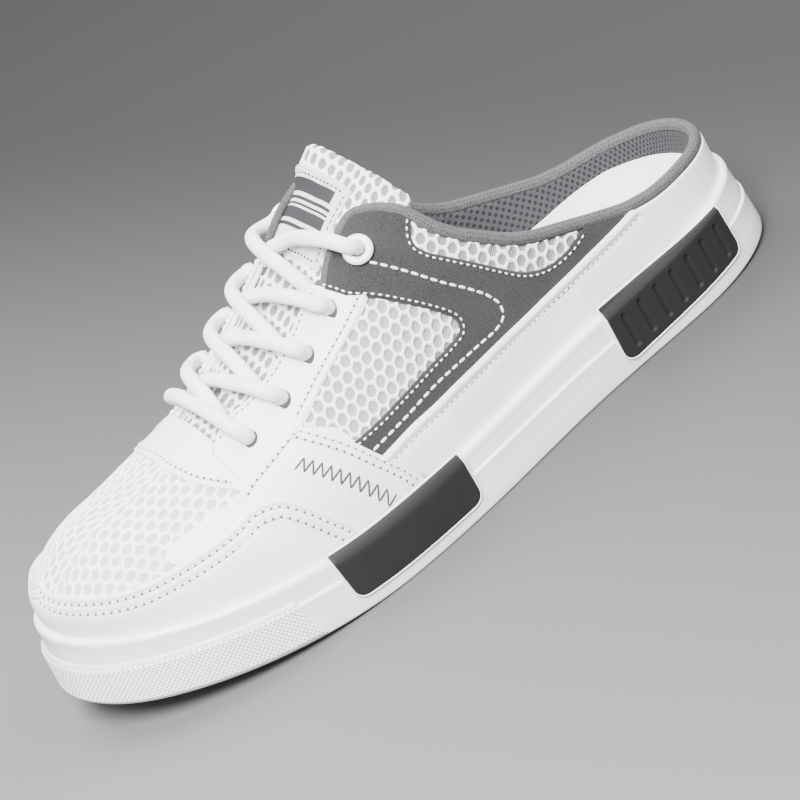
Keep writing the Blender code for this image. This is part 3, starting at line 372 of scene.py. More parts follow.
class Chart:
    """Named way from two numbers and a depth to a place, with the metres for each number."""

    def __init__(self, place, scale):
        self.place, self.scale = place, np.array(scale)

    def shift(self, path, distance, closed=False):
        """Path moved to the left of its travel on the chart, by a distance in metres."""
        p = np.array(path, float)
        if closed:
            way = np.roll(p, -1, 0) - np.roll(p, 1, 0)
        else:
            way = np.gradient(p, axis=0)
        step, none = 1e-4, np.zeros(len(p))
        here = self.place(p, none)
        du, dv = ((self.place(p + step * np.eye(2)[c], none) - here) / step for c in (0, 1))
        a, b, c = (du * du).sum(1), (du * dv).sum(1), (dv * dv).sum(1)
        left = np.stack([-(b * way[:, 0] + c * way[:, 1]), a * way[:, 0] + b * way[:, 1]], 1)
        size = a * left[:, 0] ** 2 + 2 * b * left[:, 0] * left[:, 1] + c * left[:, 1] ** 2
        return p + distance * left / np.sqrt(np.maximum(size, 1e-18))[:, None]

    def curve(self, points, pitch=0.001):
        """Rounded path through places of the chart."""
        return run(np.array(points, float) * self.scale, pitch) / self.scale

    def outline(self, *runs, pitch=0.0009):
        """Closed outline from rounded runs. A run ends where the next one begins."""
        parts = []
        for this, after in zip(runs, runs[1:] + runs[:1]):
            parts.append(self.curve(list(this) + [after[0]], pitch)[:-1])
        return np.concatenate(parts)


def hoop_place(p, depth):
    s = station_of(p[:, 0])
    return skin(np.where(p[:, 1] >= 0, s, -s), 1 - abs(p[:, 1]), depth)


def wall_place(p, depth):
    edge, out = edge_at(p[:, 0])
    flat = edge - out * (side_inset(p[:, 0], p[:, 1]) + depth)[:, None]
    return np.column_stack([flat, spring(share_of(p[:, 0])) + p[:, 1]])


def block_place(p, depth):
    """Side of the sole without its ledge, with a short bevel at the top in to the upper."""
    s, height = p[:, 0], p[:, 1]
    share = share_of(s)
    edge, out = edge_at(s)
    tall = wall_height(share)
    top = skin_face(s, rise_at(s, spring(share) + tall + LIP))
    inner = np.sum((edge - top[:, :2]) * out, axis=-1)
    over = np.clip((height - tall + LIP) / BEVEL, 0, 1)
    inset = LEDGE_STEP + 0.0003 + (inner - LEDGE_STEP - 0.0003) * over ** 1.3 * 0.55 + depth
    return np.column_stack([edge - out * inset[:, None], spring(share) + height])


ROUND = Chart(lambda p, depth: skin(p[:, 0], p[:, 1], depth), (ROUND_GIRTH, SIDE_GIRTH))
HOOP = Chart(hoop_place, (SOLE_LENGTH, HOOP_GIRTH))
WALL = Chart(wall_place, (ROUND_GIRTH, 1.0))
BLOCK_FACE = Chart(block_place, (ROUND_GIRTH, 1.0))
print("charts: round, hoop, wall, block face")


def outer(table):
    """Places of a table of shares and rises, as stations and rises on the outer side."""
    rows = np.array(table, float)
    return np.column_stack([station_of(rows[:, 0]), rows[:, 1]])


def mirrored(path):
    return np.array(path) * (-1, 1)


def beyond_toe(path):
    """The same path on the inner side, counted on past the toe."""
    return np.array(path)[::-1] * (-1, 1) + (2, 0)


def tuck(station, below=0.004):
    """Rise a little below the top of the sole's side, where an overlay ends unseen."""
    share = share_of(station)
    return rise_at(station, spring(share) + wall_height(share) - below)


# %% [markdown]
# Every leather panel is made the same way. Its outline is rounded as a knife would cut it, the inside
# is filled with points, closer together at the edge and beside a seam, and the triangles between
# them are laid on the last. The edge rolls over by its own radius.

# %% Filling an outline
def within(points, loop):
    """Which flat points lie inside a closed loop."""
    ahead = np.roll(loop, -1, 0)
    found = np.zeros(len(points), bool)
    for (x0, y0), (x1, y1) in zip(loop, ahead):
        crosses = (y0 > points[:, 1]) != (y1 > points[:, 1])
        if crosses.any():
            found ^= crosses & (points[:, 0] < (x1 - x0) * (points[:, 1] - y0) / (y1 - y0 + 1e-30) + x0)
    return found


def distances(points, path, closed=False):
    """Shortest distance from each point to a path, in as many dimensions as they have."""
    ahead = np.roll(path, -1, 0) if closed else path[1:]
    start = path if closed else path[:-1]
    best = np.full(len(points), 1e9)
    for low in range(0, len(points), 2000):
        p = points[low:low + 2000, None]
        way = (ahead - start)[None]
        part = ((p - start) * way).sum(-1) / np.maximum((way * way).sum(-1), 1e-18)
        gap = p - start - np.clip(part, 0, 1)[..., None] * way
        best[low:low + 2000] = np.sqrt((gap * gap).sum(-1).min(1))
    return best


def fill(loops, scale, pitch, seeds):
    """Flat points and triangles inside the first loop and outside the others."""
    flat = [loop * scale for loop in loops]
    low, high = flat[0].min(0), flat[0].max(0)
    x, y = np.meshgrid(np.arange(low[0], high[0], pitch), np.arange(low[1], high[1], pitch * 0.866))
    x[1::2] += pitch / 2
    grid = np.column_stack([x.ravel(), y.ravel()])
    if len(seeds):
        seeds = np.concatenate(seeds) * scale
        grid = grid[near_none(grid, seeds, pitch * 0.6)]
        grid = np.concatenate([grid, seeds])
    keep = within(grid, flat[0])
    for hole in flat[1:]:
        keep &= ~within(grid, hole)
    grid = grid[keep]
    for loop in flat:
        grid = grid[distances(grid, loop, True) > 0.00012]
    edges, start = [], 0
    for loop in flat:
        n = len(loop)
        edges += [(start + i, start + (i + 1) % n) for i in range(n)]
        start += n
    points = np.concatenate(flat + [grid])
    made = delaunay_2d_cdt([Vector(p) for p in points], edges, [], 0, 1e-9)
    verts = np.array([tuple(v) for v in made[0]])
    faces = np.array([f for f in made[2] if len(f) == 3])
    middle = verts[faces].mean(1)
    keep = within(middle, flat[0])
    for hole in flat[1:]:
        keep &= ~within(middle, hole)
    return verts / scale, faces[keep]


def near_none(points, others, gap):
    """Which points have no other closer than the gap."""
    tree = KDTree(len(others))
    for i, p in enumerate(others):
        tree.insert((*p, 0), i)
    tree.balance()
    return np.array([tree.find((*p, 0))[2] > gap for p in points])


# %% [markdown]
# Every piece becomes a closed smooth mesh with outward normals and rides on the shoe's one body. Its
# flat pattern is kept as a UV map, so that weaves run along the cloth.

# %% Closed pieces
def new_object(name, points, faces, material, flat=None, mark=None):
    """Smooth closed mesh in the row's frame, with its flat pattern as a UV map."""
    mesh = bpy.data.meshes.new(name)
    mesh.from_pydata((np.asarray(points) - MIDDLE).tolist(), [], [list(map(int, f)) for f in faces])
    if flat is not None:
        uv = mesh.uv_layers.new(name="flat")
        index = np.empty(len(mesh.loops), int)
        mesh.loops.foreach_get("vertex_index", index)
        uv.data.foreach_set("uv", np.asarray(flat, np.float32)[index].ravel())
    if mark is not None:
        mesh.attributes.new("mark", "FLOAT", "POINT").data.foreach_set("value", np.asarray(mark, np.float32))
    bm = bmesh.new()
    bm.from_mesh(mesh)
    bmesh.ops.remove_doubles(bm, verts=bm.verts, dist=0.00001)
    bmesh.ops.dissolve_degenerate(bm, edges=bm.edges, dist=0.000005)
    bmesh.ops.recalc_face_normals(bm, faces=bm.faces)
    if bm.calc_volume(signed=True) < 0:
        bmesh.ops.reverse_faces(bm, faces=bm.faces)
    for face in bm.faces:
        face.smooth = True
    bm.to_mesh(mesh)
    bm.free()
    piece = bpy.data.objects.new(name, mesh)
    bpy.context.scene.collection.objects.link(piece)
    mesh.materials.append(material)
    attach(piece, "root")
    return piece


def solid_between(top, bottom, faces):
    """Points and faces of a closed solid between two sheets that share their faces."""
    faces = np.asarray(faces)
    edges = {}
    for face in faces.tolist():
        for a, b in zip(face, face[1:] + face[:1]):
            edges[(a, b)] = True
    count = len(top)
    walls = [(a, b, b + count, a + count) for a, b in edges if (b, a) not in edges]
    under = [tuple(i + count for i in reversed(face)) for face in faces.tolist()]
    return np.concatenate([top, bottom]), faces.tolist() + under + walls


# %% [markdown]
# The panel maker joins these steps. A seam, a fold and a groove are soft ridges or troughs that follow
# a path, and a knit is a relief added by place.

# %% Panel maker
def panel(name, chart, loops, material, slot, top=0.0002, bottom=0.00145, roll=0.0005, lines=(), pitch=0.002,
          relief=None):
    """Closed panel on the last. Lines are (path, half width, height), relief is more height by place."""
    loops = [np.array(loop) for loop in loops]
    seeds = []
    for loop in loops:
        turn = 1 if signed_area(loop) > 0 else -1
        turn = -turn if loop is not loops[0] else turn
        seeds += [chart.shift(loop, turn * gap, True) for gap in (0.00018, 0.0004, 0.0008, 0.0014)]
    for path, half, height in lines:
        seeds += [chart.shift(path, half * part) for part in (-1, -0.5, 0, 0.5, 1)]
    if relief is not None:
        seeds = seeds[:3]
    flat, faces = fill(loops, chart.scale, pitch, seeds)
    none = np.zeros(len(flat))
    skin_points = chart.place(flat, none)
    edge = np.full(len(flat), 1e9)
    for loop in loops:
        edge = np.minimum(edge, distances(skin_points, chart.place(loop, np.zeros(len(loop))), True))
    inner = np.clip(roll - edge, 0, roll)
    depth = top + roll - np.sqrt(roll ** 2 - inner ** 2)
    for path, half, height in lines:
        gap = distances(skin_points, chart.place(path, np.zeros(len(path)))) / half
        depth = depth - height * np.clip(1 - gap ** 2, 0, 1) ** 2
    mark = None
    if relief is not None:
        rise, mark = relief(flat, edge, skin_points)
        depth = depth - rise
        mark = np.concatenate([mark, mark])
    upper_face = chart.place(flat, depth)
    points, faces = solid_between(upper_face, chart.place(flat, none + bottom), faces)
    flat = flat * chart.scale
    return new_object(name, points, faces, material, np.concatenate([flat, flat]), mark)


def signed_area(loop):
    ahead = np.roll(loop, -1, 0)
    return float(np.sum(loop[:, 0] * ahead[:, 1] - ahead[:, 0] * loop[:, 1]) / 2)


# %% [markdown]
# A stitch is a short thread with round ends, half sunk in the leather, and a dark mark of painted shade
# stands in the gap before the next one, where the needle hole lies in shade. They are laid out by length
# along the seam.

# %% Seams
def even_places(chart, path, pitch, depth, offset=0.0):
    """Places, directions and outward normals at an even pitch along a path."""
    path = np.array(path)
    here = chart.place(path, np.full(len(path), depth))
    travel = np.concatenate([[0], np.cumsum(np.linalg.norm(np.diff(here, axis=0), axis=1))])
    at = np.arange(pitch * (0.5 + offset), travel[-1] - pitch * 0.4, pitch)
    flat = np.stack([np.interp(at, travel, path[:, c]) for c in (0, 1)], 1)
    place = chart.place(flat, np.full(len(flat), depth))
    out = place - chart.place(flat, np.full(len(flat), depth + 0.001))
    way = np.stack([np.interp(at + 0.0004, travel, here[:, c]) - np.interp(at - 0.0004, travel, here[:, c])
                    for c in range(3)], 1)
    way /= np.maximum(np.linalg.norm(way, axis=1), 1e-12)[:, None]
    out -= way * (out * way).sum(1)[:, None]
    out /= np.maximum(np.linalg.norm(out, axis=1), 1e-12)[:, None]
    return place, way, out


def beads(name, spots, length, width, height, material, turn=0.0, sides=6, steps=5):
    """Round-ended threads at places with their directions, joined in one piece."""
    place, way, out = (np.concatenate(x) for x in zip(*spots))
    side = np.cross(out, way)
    way, side = way * math.cos(turn) + side * math.sin(turn), side * math.cos(turn) - way * math.sin(turn)
    t = np.linspace(0, math.pi, steps + 2)[1:-1]
    u = 2 * math.pi * np.arange(sides) / sides
    along = -np.cos(t) * length / 2
    girth = np.sin(t) ** 0.5
    waist = [(a, g * math.cos(q) * width / 2, g * math.sin(q) * height)
             for a, g in zip(along, girth) for q in u]
    bead = np.array([(-length / 2, 0, 0)] + waist + [(length / 2, 0, 0)])
    faces = [(0, 1 + (j + 1) % sides, 1 + j) for j in range(sides)]
    for i in range(steps - 1):
        for j in range(sides):
            a, b = 1 + i * sides + j, 1 + i * sides + (j + 1) % sides
            faces.append((a, b, b + sides, a + sides))
    last = len(bead) - 1
    faces += [(last, last - sides + j, last - sides + (j + 1) % sides) for j in range(sides)]
    points = (place[:, None] + bead[None, :, :1] * way[:, None] + bead[None, :, 1:2] * side[:, None]
              + bead[None, :, 2:] * out[:, None]).reshape(-1, 3)
    faces = [tuple(i + n * len(bead) for i in face) for n in range(len(place)) for face in faces]
    return new_object(name, points, faces, material)


# %% [markdown]
# Laces, binding and the rims of the blocks are one section swept along a line of points, with their
# own way out from the shoe at each point so that the section never twists.

# %% Sweeps
def sweep(name, middle, out, shape, material, closed=False, swell=None):
    """Cord or binding: a section swept along a line of points. Out points away from the shoe."""
    middle, out = np.array(middle), np.array(out)
    way = np.roll(middle, -1, 0) - np.roll(middle, 1, 0) if closed else np.gradient(middle, axis=0)
    way /= np.linalg.norm(way, axis=1)[:, None]
    out = out - way * (out * way).sum(1)[:, None]
    out /= np.linalg.norm(out, axis=1)[:, None]
    side = np.cross(out, way)
    size = np.ones(len(middle)) if swell is None else swell
    shape = np.array(shape)
    rings = (middle[:, None] + shape[None, :, :1] * side[:, None] * size[:, None, None]
             + shape[None, :, 1:] * out[:, None] * size[:, None, None])
    n, m = len(middle), len(shape)
    points = rings.reshape(-1, 3)
    faces = []
    for i in range(n if closed else n - 1):
        for j in range(m):
            a, b = i * m + j, i * m + (j + 1) % m
            c, d = (i + 1) % n * m + (j + 1) % m, (i + 1) % n * m + j
            faces.append((a, b, c, d))
    if not closed:
        faces += [tuple(range(m))[::-1], tuple(range((n - 1) * m, n * m))]
    travel = np.concatenate([[0], np.cumsum(np.linalg.norm(np.diff(middle, axis=0), axis=1))])
    girth = np.concatenate([[0], np.cumsum(np.linalg.norm(np.diff(shape, axis=0), axis=1))])
    flat = np.stack([np.repeat(travel, m), np.tile(girth, n)], 1)
    return new_object(name, points, faces, material, flat)


def oval(wide, tall, count=14):
    t = 2 * math.pi * np.arange(count) / count
    return np.column_stack([np.cos(t) * wide / 2, np.sin(t) * tall / 2])


# %% [markdown]
# Finishes are worked out in the shader from a few waves, noises and cells. This class lets the sums
# be written as sums.

# %% Shader sums
class Wire:
    """Output of a shader node that is added, multiplied or compared like a number."""

    def __init__(self, tree, socket):
        self.tree, self.socket = tree, socket

    def make(self, kind, inputs=(), output=0, **settings):
        """New node of any kind, with its settings and inputs, as a wire from one output."""
        node = self.tree.nodes.new(kind)
        for key, value in settings.items():
            setattr(node, key, value)
        pairs = inputs.items() if isinstance(inputs, dict) else enumerate(inputs)
        for key, value in pairs:
            if isinstance(value, Wire):
                self.tree.links.new(value.socket, node.inputs[key])
            else:
                node.inputs[key].default_value = value
        return Wire(self.tree, node.outputs[output])

    def math(self, operation, *others):
        first = [self, *others]
        if any(isinstance(w, Wire) and w.socket.type == "VECTOR" for w in first):
            first = [w if isinstance(w, (Wire, tuple)) else (w, w, w) for w in first]
            return self.make("ShaderNodeVectorMath", first, operation=operation)
        return self.make("ShaderNodeMath", first, operation=operation)

    def __add__(self, other):
        return self.math("ADD", other)

    def __sub__(self, other):
        return self.math("SUBTRACT", other)

    def __mul__(self, other):
        return self.math("MULTIPLY", other)

    def __rsub__(self, other):
        return (self * -1) + other

    __radd__, __rmul__ = __add__, __mul__

    def part(self, axis):
        """One axis of a vector."""
        return self.make("ShaderNodeSeparateXYZ", [self], output=axis)

    def step(self, low, high):
        """0 below low, 1 above high, smooth between them."""
        return self.make("ShaderNodeMapRange", [self, low, high, 0.0, 1.0], interpolation_type="SMOOTHSTEP")

    def mix(self, first, second):
        """Colour between two colours, by this wire as the share of the second."""
        opaque = lambda c: c if isinstance(c, Wire) else (*c, 1)
        return self.make("ShaderNodeMix", {0: self, 6: opaque(first), 7: opaque(second)}, output=2,
                         data_type="RGBA")

    def noise(self, scale, detail=2.0):
        return self.make("ShaderNodeTexNoise", {"Vector": self, "Scale": scale, "Detail": detail})

    def cells(self, scale, feature="F1"):
        return self.make("ShaderNodeTexVoronoi", {"Vector": self, "Scale": scale}, feature=feature)

    def waves(self, scale, axis):
        """Sine of a vector's axis, from 0 to 1, so many times a metre."""
        return (self.part(axis) * (2 * math.pi * scale)).math("SINE") * 0.5 + 0.5

    def bump(self, distance, strength=1.0):
        return self.make("ShaderNodeBump", {"Height": self, "Distance": distance, "Strength": strength})


def finish(name, roughness, paint, **fixed):
    """Material whose paint function takes coordinates and gives colour, roughness or bump wires."""
    material = bpy.data.materials.new(name)
    material.use_nodes = True
    tree = material.node_tree
    shader = tree.nodes["Principled BSDF"]
    shader.inputs["Roughness"].default_value = roughness
    for key, value in fixed.items():
        shader.inputs[key.replace("_", " ")].default_value = value
    where = Wire(tree, tree.nodes.new("ShaderNodeTexCoord").outputs["Object"])
    flat_node = tree.nodes.new("ShaderNodeUVMap")
    flat_node.uv_map = "flat"
    mark_node = tree.nodes.new("ShaderNodeAttribute")
    mark_node.attribute_name = "mark"
    made = paint(where, Wire(tree, flat_node.outputs[0]), Wire(tree, mark_node.outputs["Fac"]))
    for key, wire in made.items():
        if isinstance(wire, Wire):
            tree.links.new(wire.socket, shader.inputs[key])
        else:
            shader.inputs[key].default_value = (*wire, 1)
    return material


# %% [markdown]
# White leather has a fine pebble that only shows where light grazes it. Suede has no gloss and a nap
# that lies unevenly. Fabrics are two sets of waves in the piece's own flat pattern, and their colour is
# painted darker in the troughs and cells, as painted shade. Rubber is smooth with a faint mottle.

# %% Finishes
def leather_paint(tone, grain=1500.0):
    def paint(at, flat, mark):
        pebble = at.cells(grain) * 0.7 + at.noise(grain * 0.6) * 0.5
        cloud = at.noise(38.0, 3.0)
        dark = tuple(0.93 * c for c in tone)
        return {"Base Color": cloud.step(0.35, 0.75).mix(tone, dark),
                "Roughness": 0.42 + pebble * 0.12,
                "Normal": (pebble + at.noise(160.0) * 0.6).bump(0.00016, 0.70)}
    return paint


def suede_paint(at, flat, mark):
    nap = at.noise(2300.0, 3.0)
    cloud = at.noise(95.0, 4.0)
    tone = cloud.step(0.3, 0.75).mix((0.014, 0.014, 0.0152), (0.023, 0.023, 0.0242))
    return {"Base Color": nap.step(0.3, 0.72).mix(tone, (0.036, 0.036, 0.0376)),
            "Normal": nap.bump(0.00025, 0.7)}


def mesh_paint(ridge, hole, deep):
    # Painted shade: the cells are painted darker than the ridges, and darker still in the troughs of the
    # hatch.
    def paint(at, flat, mark):
        hatch = (flat.part(0) * 0.55 + flat.part(1)) * (2 * math.pi * 1900.0)
        hatch = hatch.math("SINE") * 0.5 + 0.5
        cell_tone_painted_shade = hatch.mix(deep, hole)
        fine = at.noise(3000.0, 2.0)
        return {"Base Color": mark.step(0.30, 0.62).mix(ridge, cell_tone_painted_shade),
                "Normal": (hatch * mark + fine * 0.6).bump(0.00018, 0.8)}
    return paint


def weave_paint(light, dark, pitch, deep):
    """Braid of small chevrons: slanting stitches whose slant turns at each wale, painted darker in the
    grooves and between the stitches as painted shade, with specks of random tone.
    """
    def paint(at, flat, mark):
        wale = flat.part(1) * (1 / (1.3 * pitch))
        fold = (wale.math("PINGPONG", 1.0) - 0.5) * (1.3 * pitch)
        slant = ((flat.part(0) + fold) * (2 * math.pi / pitch)).math("SINE") * 0.5 + 0.5
        groove = (wale.math("FRACT") - 0.5).math("ABSOLUTE").step(0.36, 0.5)
        weave = slant * 0.65 + 0.35 - groove * 0.35
        speck = at.noise(1500.0, 2.0).step(0.35, 0.6)
        # Painted shade: darker in the grooves and between the stitches; the specks are random tone.
        return {"Base Color": (weave * (0.45 + speck * 0.55)).step(0.05, 0.6).mix(dark, light),
                "Normal": weave.bump(deep, 0.7)}
    return paint


def airmesh_paint(at, flat, mark):
    u, v = flat.waves(1 / 0.0032, 0), flat.waves(1 / 0.0019, 1)
    pore = (u * 2 - 1) * (v * 2 - 1)
    hole = pore.step(0.10, 0.55)
    # Painted shade: the pores are painted nearly black.
    return {"Base Color": hole.mix((0.038, 0.038, 0.041), (0.006, 0.006, 0.007)),
            "Normal": ((1.0 - hole) + at.noise(2600.0) * 0.5).bump(0.0004, 0.8)}


def rubber_paint(tone, grain, deep, loss=0.95):
    def paint(at, flat, mark):
        fine = at.noise(grain, 2.0)
        cloud = at.noise(45.0, 3.0)
        return {"Base Color": cloud.step(0.35, 0.75).mix(tone, tuple(loss * c for c in tone)),
                "Normal": fine.bump(deep, 0.5)}
    return paint


def sole_paint(at, flat, mark):
    """Smooth rubber wall, and underneath, where the mark is 1, a tread of shallow chevrons."""
    fold = (at.part(1) * 125.0).math("PINGPONG", 1.0) * 0.006
    tread = ((at.part(0) + fold) * (2 * math.pi / 0.0045)).math("SINE").step(-0.4, 0.4)
    cloud = at.noise(45.0, 3.0)
    return {"Base Color": cloud.step(0.35, 0.75).mix((0.80, 0.80, 0.81), (0.76, 0.76, 0.77)),
            "Normal": (at.noise(900.0, 2.0) * 0.05 + tread * mark).bump(0.001, 0.6)}


def rib_paint(light, dark, pitch, slope):
    def paint(at, flat, mark):
        line = (at.part(0) + at.part(1) * slope) * (2 * math.pi / pitch)
        rib = line.math("SINE") * 0.5 + 0.5
        # Painted shade: the troughs of the ribs are painted darker.
        return {"Base Color": rib.step(0.0, 0.55).mix(dark, light), "Normal": rib.bump(0.00035, 0.8)}
    return paint


def plain_paint(tone):
    return lambda at, flat, mark: {"Base Color": tone}


LEATHER = finish("white_leather", 0.45, leather_paint((0.80, 0.80, 0.81)), Coat_Weight=0.12,
                 Coat_Roughness=0.35)
SUEDE = finish("grey_suede", 0.95, suede_paint, Sheen_Weight=0.20, Sheen_Roughness=0.5,
               Specular_IOR_Level=0.2)
MESHES = (  # name, roughness, tones of the ridge, the cell and its depth; the cell's and its depth's tones are painted shade
    ("white_mesh", 0.85, (0.82, 0.82, 0.83), (0.60, 0.61, 0.63), (0.40, 0.41, 0.43)),
    ("side_mesh", 0.85, (0.84, 0.84, 0.85), (0.46, 0.47, 0.49), (0.22, 0.225, 0.24)),
    ("collar_mesh", 0.85, (0.82, 0.82, 0.82), (0.34, 0.32, 0.30), (0.14, 0.125, 0.115)),
    ("tongue_mesh", 0.9, (0.80, 0.785, 0.775), (0.34, 0.31, 0.285), (0.13, 0.115, 0.105)),
)
VAMP_MESH, SIDE_MESH, COLLAR_MESH, TONGUE_MESH = (
    finish(name, roughness, mesh_paint(*tones)) for name, roughness, *tones in MESHES)
BINDING = finish("grey_webbing", 0.85, weave_paint((0.085, 0.085, 0.089), (0.012, 0.012, 0.013), 0.0011,
                                                   0.00018))
LINING = finish("grey_airmesh", 0.9, airmesh_paint)
SIDEWALL = finish("white_rubber", 0.28, sole_paint, Coat_Weight=0.25)
DOTTED = finish("dotted_rubber", 0.42, rubber_paint((0.74, 0.74, 0.75), 2500.0, 0.00004))
BLOCK = finish("dark_rubber", 0.62, rubber_paint((0.0095, 0.0095, 0.0105), 2600.0, 0.00022, 0.85),
               Specular_IOR_Level=0.35)
LACE = finish("lace_weave", 0.8, weave_paint((0.84, 0.84, 0.85), (0.66, 0.66, 0.68), 0.0013, 0.00012))
FOOTBED = finish("insole_cloth", 0.9, rib_paint((0.88, 0.88, 0.89), (0.66, 0.66, 0.68), 0.0011, 1.0))
RING = finish("ring_plastic", 0.25, plain_paint((0.80, 0.80, 0.81)), Coat_Weight=0.3)
WHITE_THREAD = finish("white_thread", 0.7, plain_paint((0.80, 0.80, 0.80)))
# Black thread of the suede's twist, and the painted shade inside the lace holes.
BLACK_THREAD_AND_HOLE_SHADE = finish("black_thread_and_hole_shade", 0.7, plain_paint((0.02, 0.02, 0.022)))
BROWN_THREAD = finish("brown_thread", 0.75, plain_paint((0.050, 0.043, 0.040)))
# Painted shade for the gaps between stitches.
STITCH_GAP_SHADE = finish("stitch_gap_shade", 0.9, plain_paint((0.10, 0.10, 0.105)))
WOVEN = finish("label_cloth", 0.85, rib_paint((0.78, 0.78, 0.79), (0.60, 0.60, 0.62), 0.0005, 0.0))
INK = finish("label_print", 0.8, plain_paint((0.015, 0.015, 0.017)))
print("finishes", len(bpy.data.materials))

# %% [markdown]
# The hollow upper and its lining are two sheets over the whole last, dense enough to look drawn
# rather than faceted. Beyond the throat they close over the crown, as the real vamp does.

# %% Upper and lining
SIDE = np.linspace(0, 1, 181)


def last_sheet(low_rise, columns=SIDE, side_rows=16, crown_rows=8):
    """Stations, rises and faces of a sheet over the last, from a low line to the cut edge and the crown."""
    loop = np.concatenate([columns, -columns[-2:0:-1]])
    count = len(loop)
    share = share_of(loop)
    edge = rim_rise(loop)
    closed = share >= THROAT_SHARE
    rows = [low_rise(loop) + (edge - low_rise(loop)) * i / side_rows for i in range(side_rows + 1)]
    rows += [edge + (1 - edge) * (i + 1) / crown_rows for i in range(crown_rows)]
    faces = []
    for i in range(side_rows + crown_rows):
        for j in range(count):
            k = (j + 1) % count
            if i < side_rows or (closed[j] and closed[k]):
                a, b, c, d = i * count + j, i * count + k, (i + 1) * count + k, (i + 1) * count + j
                faces += [(a, b, c), (a, c, d)]
    s, v = np.tile(loop, (len(rows), 1)), np.array(rows)
    return s.ravel(), v.ravel(), faces


def shell(name, top, bottom, low_rise, material):
    """Closed sheet over the last. Top and bottom are depths, or functions of station and rise."""
    s, v, faces = last_sheet(low_rise)
    depth = [d(s, v) if callable(d) else np.full(s.shape, d) for d in (top, bottom)]
    points, faces = solid_between(skin(s, v, depth[0]), skin(s, v, depth[1]), faces)
    flat = np.column_stack([s * 0.36, v * 0.085])  # metres round and up, for the shader's waves
    return new_object(name, points, faces, material, np.concatenate([flat, flat]),
                      np.full(len(points), 0.15))


def foam(station, rise):
    """The lining swells a little under the collar's edge."""
    below = np.clip((rim_rise(station) - rise) / 0.30, 0, 1)
    near = np.sin(np.clip(below * 1.4 + 0.12, 0, 1) * math.pi) ** 2
    return 0.0037 + 0.0016 * near * (share_of(station) < 0.60)


upper = shell("upper_mesh", UPPER_TOP, UPPER_BOTTOM,
              lambda s: rise_at(s, floor_height(share_of(s)) + 0.0003),
             VAMP_MESH)
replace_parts(upper, "upper")
lining = shell("upper_lining", 0.0032, foam, lambda s: rise_at(s, floor_height(share_of(s)) + 0.004),
               LINING)
print("upper", len(upper.data.vertices), "lining", len(lining.data.vertices))

# %% [markdown]
# The cup sole is one moulding. Its section is a list of insets and heights that runs up the side:
# round bottom edge, lower band, thin ledge, upper band, round shoulder and the lip at the upper.

# %% Cup sole
LEDGE_PROFILE = (  # inset, height, of the thin ledge between the two bands
    (0.0, 0.0128), (-0.0001, 0.0134), (-0.0001, 0.0138), (0.0001, 0.0141), (0.0004, 0.01425),
    (LEDGE_STEP, 0.0144), (LEDGE_STEP, 0.0150),
)


def sole_rings(loop):
    share = share_of(loop)
    edge, out = edge_at(loop)
    tip = tip_share(loop)
    base_z, tall = spring(share), wall_height(share)
    lean = 0.0003 + TIP_LEAN * tip
    pole = np.clip(share, HEEL_POLE, TOE_POLE)
    s_pole = station_of(pole)
    middle = (edge_at(s_pole)[0] + edge_at(-s_pole)[0]) / 2
    arch = 0.0015 * np.clip(1 - ((share - 0.45) / 0.12) ** 2, 0, 1)
    rings = [np.column_stack([middle, spring(pole) + arch])]
    for part in (0.35, 0.65, 0.85):
        flat = middle + (edge - out * 0.008 - middle) * part
        rings.append(np.column_stack([flat, (spring(pole) + arch) * (1 - part) + base_z * part]))
    rings.append(np.column_stack([edge - out * 0.008, base_z + heel_lift(share) * 0.45]))
    none = 0 * lean
    profile = [(0.0012 - 0.0012 * math.sin(t) + none, 0.0012 - 0.0012 * math.cos(t) + none)
               for t in np.linspace(0, math.pi / 2, 5)]
    profile += [(lean * 0.25, 0.007 + none)]
    profile += [(lean * 0.5 + inset, height + none) for inset, height in LEDGE_PROFILE]
    profile += [(lean * (0.5 + 0.5 * part) + LEDGE_STEP, 0.0150 + (tall - SHOULDER_DROP - 0.0150) * part)
                for part in (0.5, 1.0)]
    for t in np.linspace(0.25, 1, 6) * math.pi / 2:
        inset = lean + LEDGE_STEP - 0.0004 * math.sin(2 * t) + SHOULDER_WIDTH * 1.3 * (1 - math.cos(t))
        profile.append((inset, tall - SHOULDER_DROP * (1 - math.sin(t))))
    climb, lift = ledge_height(share) - LEDGE_HEIGHT, heel_lift(share)
    for inset, height in profile:
        middling = np.clip(height / 0.0128, 0, 1)
        below = np.clip((tall - height) / (tall - LEDGE_HEIGHT), 0, 1)
        level = height + lift * (1 - middling) + climb * middling * below
        rings.append(np.column_stack([edge - out * inset[:, None], base_z + level]))
    top = rise_at(loop, base_z + tall)
    for part, level in ((1.0, base_z + tall - 0.0004), (0.97, base_z + tall - 0.0015),
                        (0.0, floor_height(share))):
        ring = skin(loop, top * part, np.full(loop.shape, -0.0003))
        ring[:, 2] = level
        rings.append(ring)
    rings.append(np.column_stack([middle, floor_height(pole)]))
    return rings


def ring_faces(rows, count):
    return [(i * count + j, i * count + (j + 1) % count, (i + 1) * count + (j + 1) % count,
             (i + 1) * count + j)
            for i in range(rows - 1) for j in range(count)]


LOOP = np.linspace(-1, 1, 480, endpoint=False)
rings = sole_rings(LOOP)
underneath = np.repeat(np.arange(len(rings)) < 5, len(LOOP)).astype(float)
sole = new_object("cup_sole", np.concatenate(rings), ring_faces(len(rings), len(LOOP)), SIDEWALL,
                  mark=underneath)
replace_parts(sole, "outsole")
print("cup sole", len(sole.data.polygons), "faces")

# %% [markdown]
# The footbed is a moulded foam with a cloth top. It is lowest along its middle and cups up to the lining.

